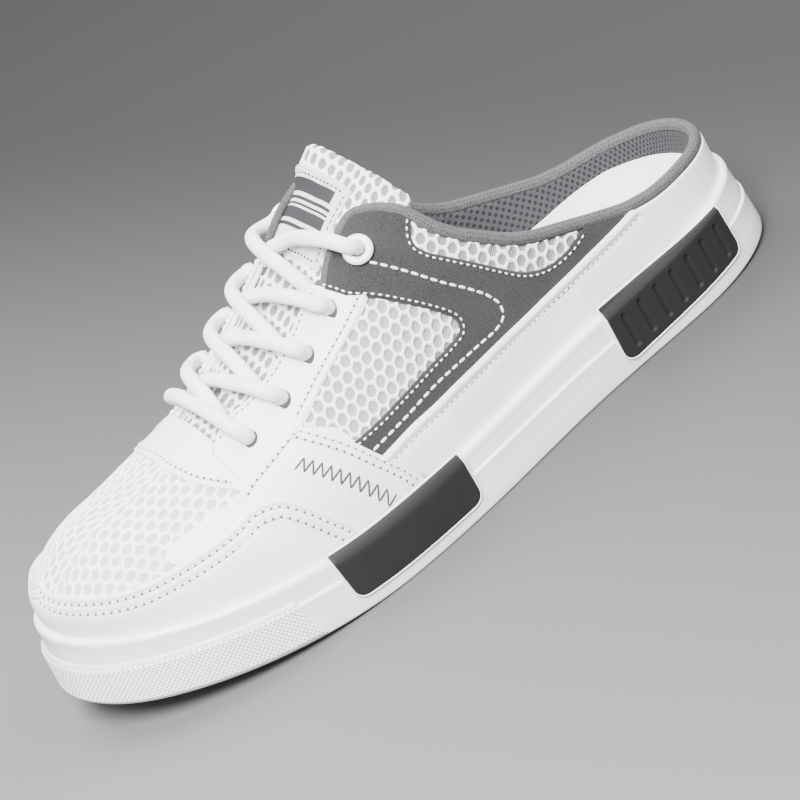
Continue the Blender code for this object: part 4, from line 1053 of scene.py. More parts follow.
# %% Footbed
def footbed_rings(loop):
    share = share_of(loop)
    floor = floor_height(share) + 0.0003
    blend = lambda k: (lambda t: t * t * (3 - 2 * t))(np.clip((k - 0.15) / 0.45, 0, 1))
    thick = 0.010 - 0.005 * blend(share)
    lip = 0.007 * (1 - 0.75 * blend(share)) * (1 - 0.5 * np.clip(1 - share / 0.10, 0, 1))
    pole = np.clip(share, HEEL_POLE, TOE_POLE)
    s_pole = station_of(pole)
    middle = (edge_at(s_pole)[0] + edge_at(-s_pole)[0]) / 2
    centre_z = floor_height(pole) + 0.0003 + 0.010 - 0.005 * blend(pole)
    deep = np.full(loop.shape, 0.0042)
    low = skin(loop, rise_at(loop, floor), deep)
    high = skin(loop, rise_at(loop, floor + thick + lip), deep)
    low[:, 2], high[:, 2] = floor, floor + thick + lip
    rings = [np.column_stack([middle, floor_height(pole) + 0.0003]), low, high - (0, 0, 0.0006)]
    for part in (0.02, 0.05, 0.09, 0.14, 0.20, 0.28, 0.38, 0.50, 0.64, 0.80, 1.0):
        flat = high[:, :2] + (middle - high[:, :2]) * part
        cup = max(1 - part / 0.42, 0) ** 2
        level = (floor + thick) * (1 - part) + centre_z * part + lip * cup
        rings.append(np.column_stack([flat, level]))
    return rings


rings = footbed_rings(LOOP[::2])
footbed = new_object("footbed", np.concatenate(rings), ring_faces(len(rings), len(LOOP[::2])), FOOTBED)
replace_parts(footbed, "insole")

# %% [markdown]
# Outlines of the leather pieces, read off the photograph's visible side and laid on the last. Each
# is a table of a share of the length and a rise. The hidden side is taken as its mirror image.

# %% Outlines of the panels
GUARD_TOP = (  # along, rise, from the waist to the tip
    (0.655, 0.030), (0.664, 0.100), (0.683, 0.205), (0.703, 0.317), (0.717, 0.378), (0.733, 0.409),
    (0.751, 0.425), (0.781, 0.409), (0.820, 0.409), (0.857, 0.413), (0.896, 0.409), (0.932, 0.425),
    (0.960, 0.448), (0.982, 0.467), (0.997, 0.490), (1.000, 0.525),
)
STRAP_REAR = (  # along, rise, upwards
    (0.563, 0.030), (0.569, 0.066), (0.581, 0.135), (0.598, 0.220), (0.617, 0.332), (0.637, 0.444),
    (0.654, 0.546),
)
STRAP_FRONT = ((0.654, 0.548), (0.677, 0.552), (0.704, 0.544), (0.734, 0.529), (0.749, 0.506))
STRIP_TOP = ((0.749, 0.518), (0.764, 0.508), (0.799, 0.521), (0.830, 0.521), (0.846, 0.508), (0.853, 0.480))
STRIP_END = ((0.852, 0.440), (0.845, 0.385))
WINDOW_FRONT = ((0.646, 0.517), (0.603, 0.541), (0.569, 0.548), (0.539, 0.544), (0.504, 0.533))
SEAM = ((0.504, 0.533), (0.517, 0.610), (0.527, 0.707), (0.536, 0.800))
LAP = 0.0015  # how far the suede lies over the eyestay, in stations
WINDOW_TOP = ((0.503, 0.525), (0.480, 0.421), (0.456, 0.332), (0.440, 0.274), (0.435, 0.247))
WINDOW_LOW = ((0.438, 0.228), (0.459, 0.226), (0.492, 0.239), (0.543, 0.272), (0.576, 0.290), (0.618, 0.318))
QUARTER_TOP = (  # along, rise, rearwards
    (0.603, 0.214), (0.551, 0.197), (0.503, 0.166), (0.454, 0.147), (0.402, 0.135), (0.353, 0.127),
    (0.304, 0.131), (0.254, 0.143), (0.215, 0.154), (0.180, 0.166),
)
COLLAR_WINDOW = (  # along, rise, from the front top round to the rear top
    (0.411, 0.540), (0.421, 0.514), (0.426, 0.486), (0.421, 0.444), (0.400, 0.371), (0.375, 0.297),
    (0.353, 0.239), (0.335, 0.201), (0.312, 0.178), (0.289, 0.174), (0.267, 0.181), (0.246, 0.197),
)
BAND_FRONT = ((0.739, 0.480), (0.750, 0.545), (0.762, 0.606), (0.776, 0.707), (0.783, 0.861), (0.782, 1.0))
BAND_JOINT = ((0.727, 0.780), (0.736, 0.741), (0.737, 0.645), (0.736, 0.540), (0.733, 0.480))
HOLES = ((0.699, 0.672), (0.644, 0.660), (0.593, 0.680), (0.543, 0.683))  # along, rise
RING_PLACE = (0.480, 0.645)


def collar_edge(first, last, count=40, side="outer"):
    """One side's cut edge between two shares of the length, drawn as if on the outer side."""
    k = np.linspace(first, last, count)
    s = station_of(k)
    return np.column_stack([s, rim_rise(s if side == "outer" else -s)])


def both_sides(make):
    """Make a panel on the outer side and its mirror image on the inner side."""
    return [make(side, (lambda p: np.array(p, float)) if side == "outer" else mirrored)
            for side in ("outer", "inner")]


# %% [markdown]
# The toe guard goes round from waist to waist. Two rows of stitches follow its raised edge, and the
# leather is a little soft between them.

# %% Toe guard
CREASES = (  # along and rise of a soft fold, half width, height
    (((0.700, 0.150), (0.722, 0.240), (0.742, 0.330)), 0.0050, -0.00028),
    (((0.728, 0.120), (0.752, 0.215), (0.776, 0.310)), 0.0050, 0.00022),
    (((0.800, 0.140), (0.850, 0.190), (0.905, 0.200)), 0.0060, -0.00020),
)
QUARTER_CREASES = (
    (((0.300, 0.095), (0.360, 0.072), (0.425, 0.080)), 0.0050, -0.00022),
    (((0.120, 0.330), (0.150, 0.270), (0.190, 0.220)), 0.0055, -0.00020),
)


def folds(table):
    """Soft creases of both sides as lines for a panel."""
    return [(turn(ROUND.curve(outer(path))), half, height) for path, half, height in table
            for turn in (np.array, mirrored)]


guard_edge = ROUND.curve(np.concatenate([outer(GUARD_TOP)[:-1], [[1.0, 0.525]],
                                         beyond_toe(outer(GUARD_TOP)[:-1])]))
sole_line = np.linspace(2 - guard_edge[0, 0], guard_edge[0, 0], 300)
guard_low = np.column_stack([sole_line, tuck(sole_line)])
guard_loop = np.concatenate([guard_edge[:-1], guard_low])
row_one, row_two = ROUND.shift(guard_edge, -0.0026), ROUND.shift(guard_edge, -0.0058)
guard = panel("toe_guard_leather", ROUND, [guard_loop], LEATHER, "toe_guard", top=-0.0007, roll=0.0006,
              lines=[(row_one, 0.0011, -0.0003), (row_two, 0.0011, -0.0003),
                     (ROUND.shift(guard_edge, -0.0010), 0.0012, 0.0002)] + folds(CREASES))
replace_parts(guard, "toe_guard")
print("toe guard", len(guard.data.polygons), "faces")

# %% [markdown]
# The heel quarter is one piece from side to side. Its top edge is folded under and stitched down, and
# round the back it reaches the collar's cut edge, where the binding covers it.

# %% Heel quarter
quarter_edge = np.concatenate([ROUND.curve(outer(QUARTER_TOP))[:-1], collar_edge(0.178, 0.0, 60),
                               mirrored(collar_edge(0.0, 0.178, 60))[1:],
                               mirrored(ROUND.curve(outer(QUARTER_TOP)))[::-1][1:]])
end_share = 0.562
low_line = np.linspace(-float(station_of(end_share)), float(station_of(end_share)), 260)
quarter_loop = np.concatenate([quarter_edge, np.column_stack([low_line, tuck(low_line)])])
quarter_top = ROUND.curve(outer(QUARTER_TOP))
fold, dash = (ROUND.shift(quarter_top, below) for below in (0.0016, 0.0038))
quarter = panel("heel_quarter_leather", ROUND, [quarter_loop], LEATHER, "heel_quarter", top=-0.0006,
                lines=[(fold, 0.0017, 0.0006), (mirrored(fold), 0.0017, 0.0006),
                       (dash, 0.0009, -0.0002), (mirrored(dash), 0.0009, -0.0002)] + folds(QUARTER_CREASES))
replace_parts(quarter, "heel_quarter")
print("heel quarter", len(quarter.data.polygons), "faces")


# %% [markdown]
# Three more leathers lie on each side. The strap crosses the ball and runs on towards the toe as a
# strip. The eyestay carries the lace holes. The suede panel between them laps over the eyestay.

# %% Straps, eyestays and side panels
def round_hole(share, rise, radius, count=28):
    """Circle on the last round a lace hole."""
    centre = np.array([station_of(share), rise])
    t = 2 * math.pi * np.arange(count) / count
    none = np.zeros(1)
    here = ROUND.place(centre[None], none)
    du = np.linalg.norm(ROUND.place(centre[None] + (1e-3, 0), none) - here) / 1e-3
    dv = np.linalg.norm(ROUND.place(centre[None] + (0, 1e-3), none) - here) / 1e-3
    return centre + radius * np.column_stack([np.cos(t) / du, np.sin(t) / dv])


strap_rear = ROUND.curve(outer(STRAP_REAR))
strap_front = ROUND.curve(outer(STRAP_FRONT))


def strap(side, turn):
    loop = ROUND.outline(outer(STRAP_REAR).tolist(), outer(STRAP_FRONT).tolist(), outer(STRIP_TOP).tolist(),
                         outer(STRIP_END).tolist(),
                         (outer(GUARD_TOP)[9:0:-1] - (0, 0.035)).tolist(),
                         [[float(station_of(0.655)), float(tuck(station_of(0.655)))]],
                         [[float(station_of(0.563)), float(tuck(station_of(0.563)))]])
    lines = [(ROUND.shift(strap_front, -0.0014), 0.0012, 0.0003),
             (ROUND.shift(strap_rear, -0.0012), 0.0010, 0.0002)]
    piece = panel("strap_leather_" + side, ROUND, [turn(loop)], LEATHER, "forefoot_strap_" + side,
                  top=-0.0004, lines=[(turn(p), w, h) for p, w, h in lines])
    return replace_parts(piece, "forefoot_strap_" + side)


def eyestay(side, turn):
    throat = outer(THROAT)
    loop = ROUND.outline(throat.tolist(), outer(BAND_JOINT).tolist(),
                         outer(((0.704, 0.505), (0.677, 0.512), (0.650, 0.508))).tolist(),
                         outer(WINDOW_FRONT[1:]).tolist(), outer(SEAM[1:]).tolist())
    holes = [round_hole(k, v - 0.012, 0.0030) for k, v in HOLES]
    rear = ROUND.curve(outer(WINDOW_FRONT))
    lines = [(ROUND.shift(rear, -0.0013), 0.0013, 0.0004), (ROUND.shift(rear, -0.0030), 0.0008, -0.00015)]
    piece = panel("eyestay_leather_" + side, ROUND, [turn(loop)] + [turn(h) for h in holes], LEATHER,
                  "eyestay_" + side, top=0.0004, lines=[(turn(p), w, h) for p, w, h in lines])
    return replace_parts(piece, "eyestay_" + side)


def side_panel(side, turn):
    loop = np.concatenate([
        ROUND.curve((outer(SEAM[:0:-1]) + (LAP, 0)).tolist())[:-1],
        ROUND.curve(outer(WINDOW_TOP).tolist() + outer(WINDOW_LOW).tolist())[:-1],
        ROUND.curve((outer(QUARTER_TOP) - (0, 0.028)).tolist()),
        collar_edge(0.180, 0.243, 14, side),
        ROUND.curve(outer(COLLAR_WINDOW)[::-1])[1:-1],
        collar_edge(0.411, 0.534, 60, side)])
    piece = panel("side_panel_suede_" + side, ROUND, [turn(loop)], SUEDE, "side_panel_" + side, top=-0.0001,
                  roll=0.0006)
    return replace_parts(piece, "side_panel_" + side)


both_sides(strap)
both_sides(eyestay)
both_sides(side_panel)
print("strap, eyestay and side panel on both sides")

# %% [markdown]
# The throat band closes the throat in front of the laces. It crosses the instep, so it is drawn on the
# hoop chart. The foot bends here, which leaves one soft fold across it.

# %% Throat band
band_front = [(k, 1 - v) for k, v in BAND_FRONT]
band_joint = [(k, 1 - v) for k, v in BAND_JOINT]
band_edge = HOOP.curve(band_front + [(k, -a) for k, a in band_front[::-1]][1:])
band_rear = HOOP.curve([(k, -a) for k, a in band_joint[::-1]])
band_loop = np.concatenate([band_edge[:-1], band_rear[:-1],
                            HOOP.curve([(0.727, -0.22), (0.7255, 0.0), (0.727, 0.22)])[:-1],
                            HOOP.curve(band_joint)[:-1]])
FLEX = HOOP.curve([(0.752, 0.42), (0.757, 0.20), (0.758, 0.0), (0.757, -0.20), (0.752, -0.42)])
band = panel("throat_band_leather", HOOP, [band_loop], LEATHER, "throat_band", top=0.0001,
             lines=[(HOOP.shift(band_edge, -0.0024), 0.0010, -0.0002), (FLEX, 0.0045, -0.0003)])
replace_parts(band, "throat_band")
print("throat band", len(band.data.polygons), "faces")

# %% [markdown]
# The mesh is a knit with oval cells between round ridges. It is modelled, not painted, because its
# ridges catch the light. A cell is a blend of a hexagon and a circle.

# %% Mesh cells
def honeycomb(u, w, long_pitch, cross_pitch):
    """0 in the middle of a cell to 1 on the ridges between the cells."""
    x, y = u / long_pitch, w / cross_pitch
    best = np.full(x.shape, 9.0)
    found = np.zeros(x.shape)
    for ox, oy in ((0.0, 0.0), (0.5, 0.866)):
        fx = x - ox - np.round(x - ox)
        fy = y - oy - 1.732 * np.round((y - oy) / 1.732)
        r = np.hypot(fx, fy)
        corner = 2 * np.maximum(abs(fx), np.maximum(abs(fx / 2 + fy * 0.866), abs(fx / 2 - fy * 0.866)))
        value = 0.55 * corner + 0.45 * np.minimum(1.82 * r, 1.1)
        found = np.where(r < best, value, found)
        best = np.minimum(best, r)
    return found


def smooth(value, low, high):
    t = np.clip((value - low) / (high - low), 0, 1)
    return t * t * (3 - 2 * t)


def knit(long_pitch, cross_pitch, turn=0.0, height=0.00065, hole=0.50, full=0.80, where=None):
    """Relief of the mesh for a panel, with its mark for the shader's painted shade: 1 in a cell, 0 on a
    ridge.
    """
    def relief(flat, edge, here):
        if where is not None:
            u, w = where(flat)
        else:
            middle = here.mean(0)
            axes = np.linalg.svd(here - middle, full_matrices=False)[2]
            first = np.array((1.0, 0, 0)) - axes[2] * axes[2][0]
            first /= np.linalg.norm(first)
            second = np.cross(axes[2], first) * np.sign(axes[2][1] + 1e-9)
            u, w = (here - middle) @ first, (here - middle) @ second
        a, b = u * math.cos(turn) + w * math.sin(turn), w * math.cos(turn) - u * math.sin(turn)
        ridge = smooth(honeycomb(a, b, long_pitch, cross_pitch), hole, full)
        return height * ridge, 1 - ridge
    return relief


# %% [markdown]
# Stations meet in a pole at the toe, where cells would bunch up. Seen from above the vamp has one map
# without a seam, so its height is read there once, with the real lengths along and round the foot.

# %% Vamp seen from above
MAP_STEP = 0.0008
MAP_X = np.arange(0.195, 0.292, MAP_STEP)
MAP_Y = np.arange(-0.056, 0.058, MAP_STEP)


def vamp_map():
    """Height of the skin over a grid seen from above, and the lengths along and round the foot."""
    s, v, faces = last_sheet(lambda s: rise_at(s, floor_height(share_of(s)) + 0.0003),
                             np.linspace(0, 1, 361), 60, 60)
    points = skin(s, v, np.zeros(s.shape))
    tree = BVHTree.FromPolygons(points.tolist(), faces)
    height = np.full((len(MAP_X), len(MAP_Y)), np.nan)
    for i, x in enumerate(MAP_X):
        for j, y in enumerate(MAP_Y):
            hit = tree.ray_cast((x, y, 0.2), (0, 0, -1))[0]
            if hit is not None:
                height[i, j] = hit[2]
    for _ in range(60):
        gaps = np.isnan(height)
        if not gaps.any():
            break
        near = np.stack([np.roll(height, shift, axis) for shift, axis in ((1, 0), (-1, 0), (1, 1), (-1, 1))])
        count = (~np.isnan(near)).sum(0)
        fillin = np.where(count > 0, np.nansum(near, 0) / np.maximum(count, 1) - 0.0006, np.nan)
        height = np.where(gaps, fillin, height)
    height = np.nan_to_num(height, nan=0.01)
    for _ in range(3):
        padded = np.pad(height, 1, mode="edge")
        height = (padded[:-2, 1:-1] + padded[2:, 1:-1] + padded[1:-1, :-2] + padded[1:-1, 2:]
                  + 4 * height) / 8
    slope_x, slope_y = np.gradient(height, MAP_STEP)
    lean = np.sqrt(1 + slope_x ** 2 + slope_y ** 2)
    along = np.cumsum(np.sqrt(1 + slope_x ** 2), 0) * MAP_STEP
    across = np.cumsum(np.sqrt(1 + slope_y ** 2), 1) * MAP_STEP
    centre = int(np.argmin(abs(MAP_Y + 0.028 * BALL_WIDTH)))
    return height, np.minimum(lean, 2.2), along, across - across[:, centre:centre + 1]


HEIGHT, LEAN, ALONG, AROUND = vamp_map()


def read_map(grid, p):
    """Value of a map at places, between its grid points."""
    x = np.clip((p[:, 0] - MAP_X[0]) / MAP_STEP, 0, len(MAP_X) - 1.001)
    y = np.clip((p[:, 1] - MAP_Y[0]) / MAP_STEP, 0, len(MAP_Y) - 1.001)
    i, j = x.astype(int), y.astype(int)
    fx, fy = x - i, y - j
    return ((grid[i, j] * (1 - fx) + grid[i + 1, j] * fx) * (1 - fy)
            + (grid[i, j + 1] * (1 - fx) + grid[i + 1, j + 1] * fx) * fy)


TOP = Chart(lambda p, depth: np.column_stack([p, read_map(HEIGHT, p) - depth * read_map(LEAN, p)]),
            (1.0, 1.0))


def from_above(path):
    """Round places as places on the map."""
    path = np.array(path)
    return skin_face(path[:, 0], path[:, 1])[:, :2]


print("vamp map", HEIGHT.shape)

# %% [markdown]
# The vamp mesh is one panel on that map. It goes on under the guard, the strips and the throat band.

# %% Vamp mesh
VAMP_EDGE = (  # along, rise, from the throat band to the tip, under the strip and the guard
    (0.744, 0.500), (0.765, 0.490), (0.799, 0.500), (0.838, 0.490), (0.852, 0.400), (0.896, 0.385),
    (0.932, 0.400), (0.960, 0.425), (0.982, 0.445), (0.997, 0.470),
)
vamp_side = ROUND.curve(np.concatenate([outer(VAMP_EDGE), [[1.0, 0.505]]]), 0.0008)
vamp_loop = from_above(np.concatenate([vamp_side, beyond_toe(vamp_side)[1:]]))
back_line = run([vamp_loop[-1], (0.2195, -0.0028), vamp_loop[0]], 0.0008)
vamp_loop = np.concatenate([vamp_loop[:-1], back_line[:-1]])
vamp = panel("vamp_mesh", TOP, [vamp_loop], VAMP_MESH, "upper", top=0.00148, bottom=0.0026, roll=0.0001,
             pitch=0.00052,
             relief=knit(0.0052, 0.0041, hole=0.54, full=0.82,
                         where=lambda p: (read_map(ALONG, p), read_map(AROUND, p))))
print("vamp mesh", len(vamp.data.polygons))


# %% [markdown]
# The windows in the sides show the same knit in other sizes, laid out square to each window.

# %% Side and collar windows
def side_mesh(side, turn):
    loop = ROUND.outline(outer(((0.508, 0.560), (0.541, 0.566), (0.569, 0.568), (0.603, 0.560),
                                (0.648, 0.535))).tolist(),
                         outer(((0.640, 0.480), (0.620, 0.400), (0.606, 0.285))).tolist(),
                         outer(((0.576, 0.265), (0.543, 0.248), (0.492, 0.215), (0.459, 0.203),
                                (0.434, 0.210),
                                (0.430, 0.247), (0.452, 0.345), (0.476, 0.435), (0.500, 0.540))).tolist())
    return panel("side_mesh_" + side, ROUND, [turn(loop)], SIDE_MESH, "upper", top=0.00148, bottom=0.0026,
                 roll=0.0001, pitch=0.0005,
                 relief=knit(0.0052, 0.0040, 1.05, height=0.0009, hole=0.62, full=0.86))


def collar_mesh(side, turn):
    window = ROUND.curve(outer(COLLAR_WINDOW)[::-1])
    wide = ROUND.shift(window, -0.0016)
    top = collar_edge(0.411, 0.250, 50)
    loop = np.concatenate([wide, top[1:] - (0, 0.004)])
    return panel("collar_mesh_" + side, ROUND, [turn(loop)], COLLAR_MESH, "upper", top=0.00125,
                 bottom=0.0026, roll=0.0001, pitch=0.0005,
                 relief=knit(0.0050, 0.0042, 0.9, height=0.0008, hole=0.58, full=0.84))


both_sides(side_mesh)
both_sides(collar_mesh)
print("side and collar mesh on both sides")

# %% [markdown]
# The tongue is foam under a ribbed mesh. It is a thick panel that rolls over at its edges, deeper
# than the eyestays so that it slips under them.

# %% Tongue and label
TONGUE_EDGE = (  # along, across, from the toe end up the outer side and down the inner one
    (0.775, 0.0), (0.775, 0.20), (0.770, 0.27), (0.70, 0.30), (0.60, 0.30), (0.50, 0.34), (0.45, 0.40),
    (0.415, 0.445), (0.399, 0.440), (0.393, 0.405), (0.398, 0.35), (0.402, 0.30), (0.408, 0.20),
    (0.413, 0.10), (0.415, 0.0), (0.415, -0.10), (0.416, -0.18), (0.420, -0.24), (0.430, -0.29),
    (0.445, -0.32), (0.47, -0.335), (0.50, -0.335), (0.60, -0.30), (0.70, -0.30), (0.770, -0.27),
    (0.775, -0.20), (0.775, 0.0),
)
TONGUE_FLARE = ((0.39, 0.0100), (0.42, 0.0090), (0.435, 0.0068), (0.45, 0.0042), (0.465, 0.0012),
                (0.48, 0.0))


def tongue_place(p, depth):
    """Places on the tongue, whose top flares off the foot towards the inner side."""
    far = np.clip((0.10 - p[:, 1]) / 0.40, 0, 1) ** 0.8
    return hoop_place(p, depth - smooth_table(TONGUE_FLARE, p[:, 0], 1) * far)


TONGUE = Chart(tongue_place, (SOLE_LENGTH, HOOP_GIRTH))
tongue_loop = TONGUE.curve(TONGUE_EDGE)[:-1]
knit_tongue = knit(0.0050, 0.0044, 0.5, height=0.0007,
                   where=lambda p: (p[:, 0] * SOLE_LENGTH, p[:, 1] * 0.085))
tongue = panel("tongue_padding", TONGUE, [tongue_loop], TONGUE_MESH, "tongue", top=0.0040, bottom=0.0078,
               roll=0.0017, pitch=0.0006, relief=knit_tongue)
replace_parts(tongue, "tongue")


def hoop_box(k0, k1, a0, a1, round_off=0.0008):
    """Rectangle on the hoop chart with rounded corners."""
    r, q = round_off / SOLE_LENGTH, round_off / HOOP_GIRTH
    t = np.linspace(0, math.pi / 2, 5)
    corners = []
    centres = ((k1 - r, a1 - q), (k0 + r, a1 - q), (k0 + r, a0 + q), (k1 - r, a0 + q))
    for quarter_turn, (kc, ac) in enumerate(centres):
        angles = t + quarter_turn * math.pi / 2
        corners += [(kc + r * math.cos(angle), ac + q * math.sin(angle)) for angle in angles]
    p = np.array(corners + corners[:1]) * HOOP.scale
    return run_straight(p, 0.0009) / HOOP.scale


def run_straight(points, pitch):
    """Straight-sided path resampled to about a pitch, its closing point left out."""
    out = []
    for a, b in zip(points[:-1], points[1:]):
        n = max(int(round(np.linalg.norm(b - a) / pitch)), 1)
        out += [a + (b - a) * i / n for i in range(n)]
    return np.array(out)


LABEL = (0.4400, 0.5270, -0.300, 0.165)  # along from and to, across from and to
label = panel("label_cloth", TONGUE, [hoop_box(*LABEL)], WOVEN, "tongue_label", top=0.0029, bottom=0.0042,
              roll=0.0003, pitch=0.0015,
              lines=[(HOOP.curve([(0.4430, -0.295), (0.4430, 0.16)]), 0.0014, 0.0006)])
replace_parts(label, "tongue_label")
PRINT = (  # along from and to, across from and to
    (0.4520, 0.4660, -0.245, 0.080), (0.4705, 0.4740, -0.245, 0.105), (0.4775, 0.4800, -0.245, 0.105),
    (0.4825, 0.4950, -0.245, 0.105), (0.4990, 0.5025, -0.245, 0.030),
)
for number, bar in enumerate(PRINT):
    panel("label_bar_%d" % (number + 1), TONGUE, [hoop_box(*bar, 0.0002)], INK, "tongue_label", top=0.00282,
          bottom=0.0031, roll=0.00005, pitch=0.002)
borders = [HOOP.curve(ends) for ends in (
    [(0.5215, -0.275), (0.5215, 0.140)], [(0.4480, -0.275), (0.4480, 0.140)],
    [(0.4480, -0.275), (0.5215, -0.275)], [(0.4480, 0.140), (0.5215, 0.140)])]
beads("label_dashes", [even_places(TONGUE, line, 0.0022, 0.0029) for line in borders], 0.0014, 0.0006,
      0.00012, INK)
print("tongue", len(tongue.data.polygons), "faces, label with", len(PRINT), "bars")

# %% [markdown]
# The binding is webbing folded over the cut edge. It runs from one throat edge over the tab, round
# the heel and back, and tapers under the eyestay.

# %% Binding
bind_k = np.concatenate([np.linspace(0, 0.38, 120)[:-1], np.linspace(0.38, 0.552, 90)])
bind_s = station_of(bind_k)
bind_path = np.concatenate([np.column_stack([-bind_s, rim_rise(bind_s)])[:0:-1],
                            np.column_stack([bind_s, rim_rise(bind_s)])])
bind_path = ROUND.curve(bind_path[::3], 0.0012)
mid_depth = 0.00175
from_end = np.minimum(np.arange(len(bind_path)), np.arange(len(bind_path))[::-1]) * 0.0012
sink = mid_depth + 0.0022 * (1 - smooth(from_end, 0.001, 0.009))
bind_edge = ROUND.place(bind_path, sink)
bind_out = bind_edge - ROUND.place(bind_path, sink + 0.001)
bind_out /= np.linalg.norm(bind_out, axis=1)[:, None]
bind_way = np.gradient(bind_edge, axis=0)
bind_way /= np.linalg.norm(bind_way, axis=1)[:, None]
bind_up = np.cross(bind_way, bind_out)
bind_up *= np.sign(bind_up[:, 2].sum())
t = 2 * math.pi * np.arange(18) / 18
binding_shape = np.column_stack([np.cos(t) * 0.00240, np.sin(t) * 0.0021])
binding_taper = 1 - 0.30 * (1 - smooth(from_end, 0.030, 0.052)) - 0.22 * (1 - smooth(from_end, 0.0, 0.006))
binding = sweep("collar_webbing", bind_edge + bind_up * 0.0012, bind_out, binding_shape, BINDING,
                swell=binding_taper)
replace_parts(binding, "collar_binding")
print("binding", round(1000 * 0.0012 * len(bind_path)), "mm")


# %% [markdown]
# One round lace would thread all holes. What shows of it is a bar at the lowest holes and two
# crossings at each pair above: a run comes up from under one eyestay and dives into the far hole.

# %% Laces and ring eyelets
LACE_WIDE, LACE_TALL = 0.0052, 0.0046
EYELETS = HOLES + (RING_PLACE,)
RING_LIFT = 0.0010  # how far the last run stands over the ring eyelet


def cord(name, spots, node=None):
    """Lace through places given as share, across and depth."""
    metres = (SOLE_LENGTH, HOOP_GIRTH, 1.0)
    p = run(np.array(spots) * metres, 0.0009) / metres
    middle = HOOP.place(p[:, :2], p[:, 2])
    out = middle - HOOP.place(p[:, :2], p[:, 2] + 0.001)
    piece = sweep(name, middle, out, oval(LACE_WIDE, LACE_TALL, 16), LACE)
    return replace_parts(piece, node) if node else piece


LACE_OVER = (  # part of the way, share of the throat's edge, share of the far hole's distance, depth
    (0.00, 1.02, 0.00, 0.0040), (0.05, 0.72, 0.00, 0.0004), (0.12, 0.38, 0.00, -0.0024),
    (0.20, 0.00, 0.00, -0.0042), (0.31, 0.00, 0.30, -0.0042), (0.43, 0.00, 0.54, -0.0035),
    (0.57, 0.00, 0.73, -0.0030), (0.73, 0.00, 0.88, -0.0029), (0.88, 0.00, 0.98, -0.0028),
)
LACE_LAG = {1: 0.30, 4: -0.45}
LACE_START = {1: 0.008, 2: 0.013, 3: 0.017, 4: 0.004}  # how far toe-wards of its hole each upper run starts
LACE_UNDER = (
    (0.00, 1.02, 0.00, 0.0040), (0.14, 0.70, 0.00, 0.0010), (0.30, 0.34, 0.00, -0.0006),
    (0.47, 0.00, 0.00, -0.0008),
    (0.62, 0.00, 0.36, -0.0014), (0.78, 0.00, 0.68, -0.0026), (0.92, 0.00, 0.92, -0.0028),
)


def crossing(number, side):
    """From under the eyestay of one side to the next hole of the other. The outer start lies on top."""
    k0, (k1, v1) = EYELETS[number - 1][0], EYELETS[number]
    throat = 1 - float(smooth_table(THROAT, max(k0, 0.54), 1))
    lift = RING_LIFT if number == len(EYELETS) - 1 else 0.0
    far = 1 - v1
    table = LACE_OVER if side > 0 else LACE_UNDER
    spots = [(k0 - 0.0045, side * (throat + 0.060), 0.0070)]
    for part, near, beyond, depth in table:
        start = k0 - 0.004 + (LACE_START[number] if side > 0 else 0.0)
        lag = LACE_LAG.get(number, 0.0) * part * (1 - part) if side > 0 else 0.0
        spots.append((start + (k1 - start) * (part + lag), side * (throat * near - far * beyond),
                      depth - lift * beyond))
    return spots + [(k1, -side * (far - 0.012), -0.0012 - lift), (k1, -side * far, 0.0024)]


k_bar, v_bar = HOLES[0]
arch = 1 - v_bar
HALF_BAR = (  # along from the hole, across from the eyestay's edge, depth
    (0.0, 0.004, 0.0022), (0.0, -0.008, -0.0010), (0.004, -0.05, -0.0026), (0.006, -0.15, -0.0024),
)
half_bar = [(k_bar + k, arch + a, depth) for k, a, depth in HALF_BAR]
other_half = [(k, -a, depth) for k, a, depth in half_bar[::-1]]
cord("lace_low", half_bar + [(k_bar + 0.007, 0.0, -0.0022)] + other_half, "lace_bar")
for number in range(1, 5):
    cord("lace_under_%d" % number, crossing(number, -1))
    cord("lace_over_%d" % number, crossing(number, 1), "lace_cross_%d" % number)


# Painted shade: a dark disc under each lace hole, where the hole lies in shade.
shade = outer([(k, v - 0.012) for k, v in HOLES])
for number in range(len(HOLES)):
    dashes = shade[number] + np.linspace((-0.004, 0), (0.004, 0), 5)
    spots = [even_places(ROUND, turn(dashes), 0.0020, 0.0013) for turn in (np.array, mirrored)]
    beads("lace_hole_shade_%d" % (number + 1), [[a[:1] for a in spot] for spot in spots], 0.0062, 0.0062, 0.00012,
          BLACK_THREAD_AND_HOLE_SHADE, sides=16, steps=7)


def ring_eyelet(side, turn):
    centre = turn(outer((RING_PLACE,)))
    place = ROUND.place(centre, np.array([-0.0006]))[0]
    out = ROUND.place(centre, np.array([-0.0016]))[0] - place
    out /= np.linalg.norm(out)
    bpy.ops.mesh.primitive_torus_add(major_radius=0.0038, minor_radius=0.00135, major_segments=48,
                                     minor_segments=16)
    piece = bpy.context.object
    piece.name = piece.data.name = "ring_eyelet_" + side
    piece.scale = (1, 1, 0.85)
    piece.rotation_euler = Vector(out).to_track_quat("Z", "Y").to_euler()
    piece.location = Vector(place - MIDDLE + out * 0.0004)
    bpy.ops.object.transform_apply(location=True, rotation=True, scale=True)
    bpy.ops.object.shade_smooth()
    piece.data.materials.append(RING)
    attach(piece, "root")
    "eyelet_ring_" + side
    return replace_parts(piece, "eyelet_ring_" + side)


both_sides(ring_eyelet)
print("laces and ring eyelets")

# %% [markdown]
# Blocks of dark rubber are let into the side of the sole, rise over its shoulder and bevel in to the
# upper. The heel blocks have upright grooves. The toe bumper is a band of small pyramids.

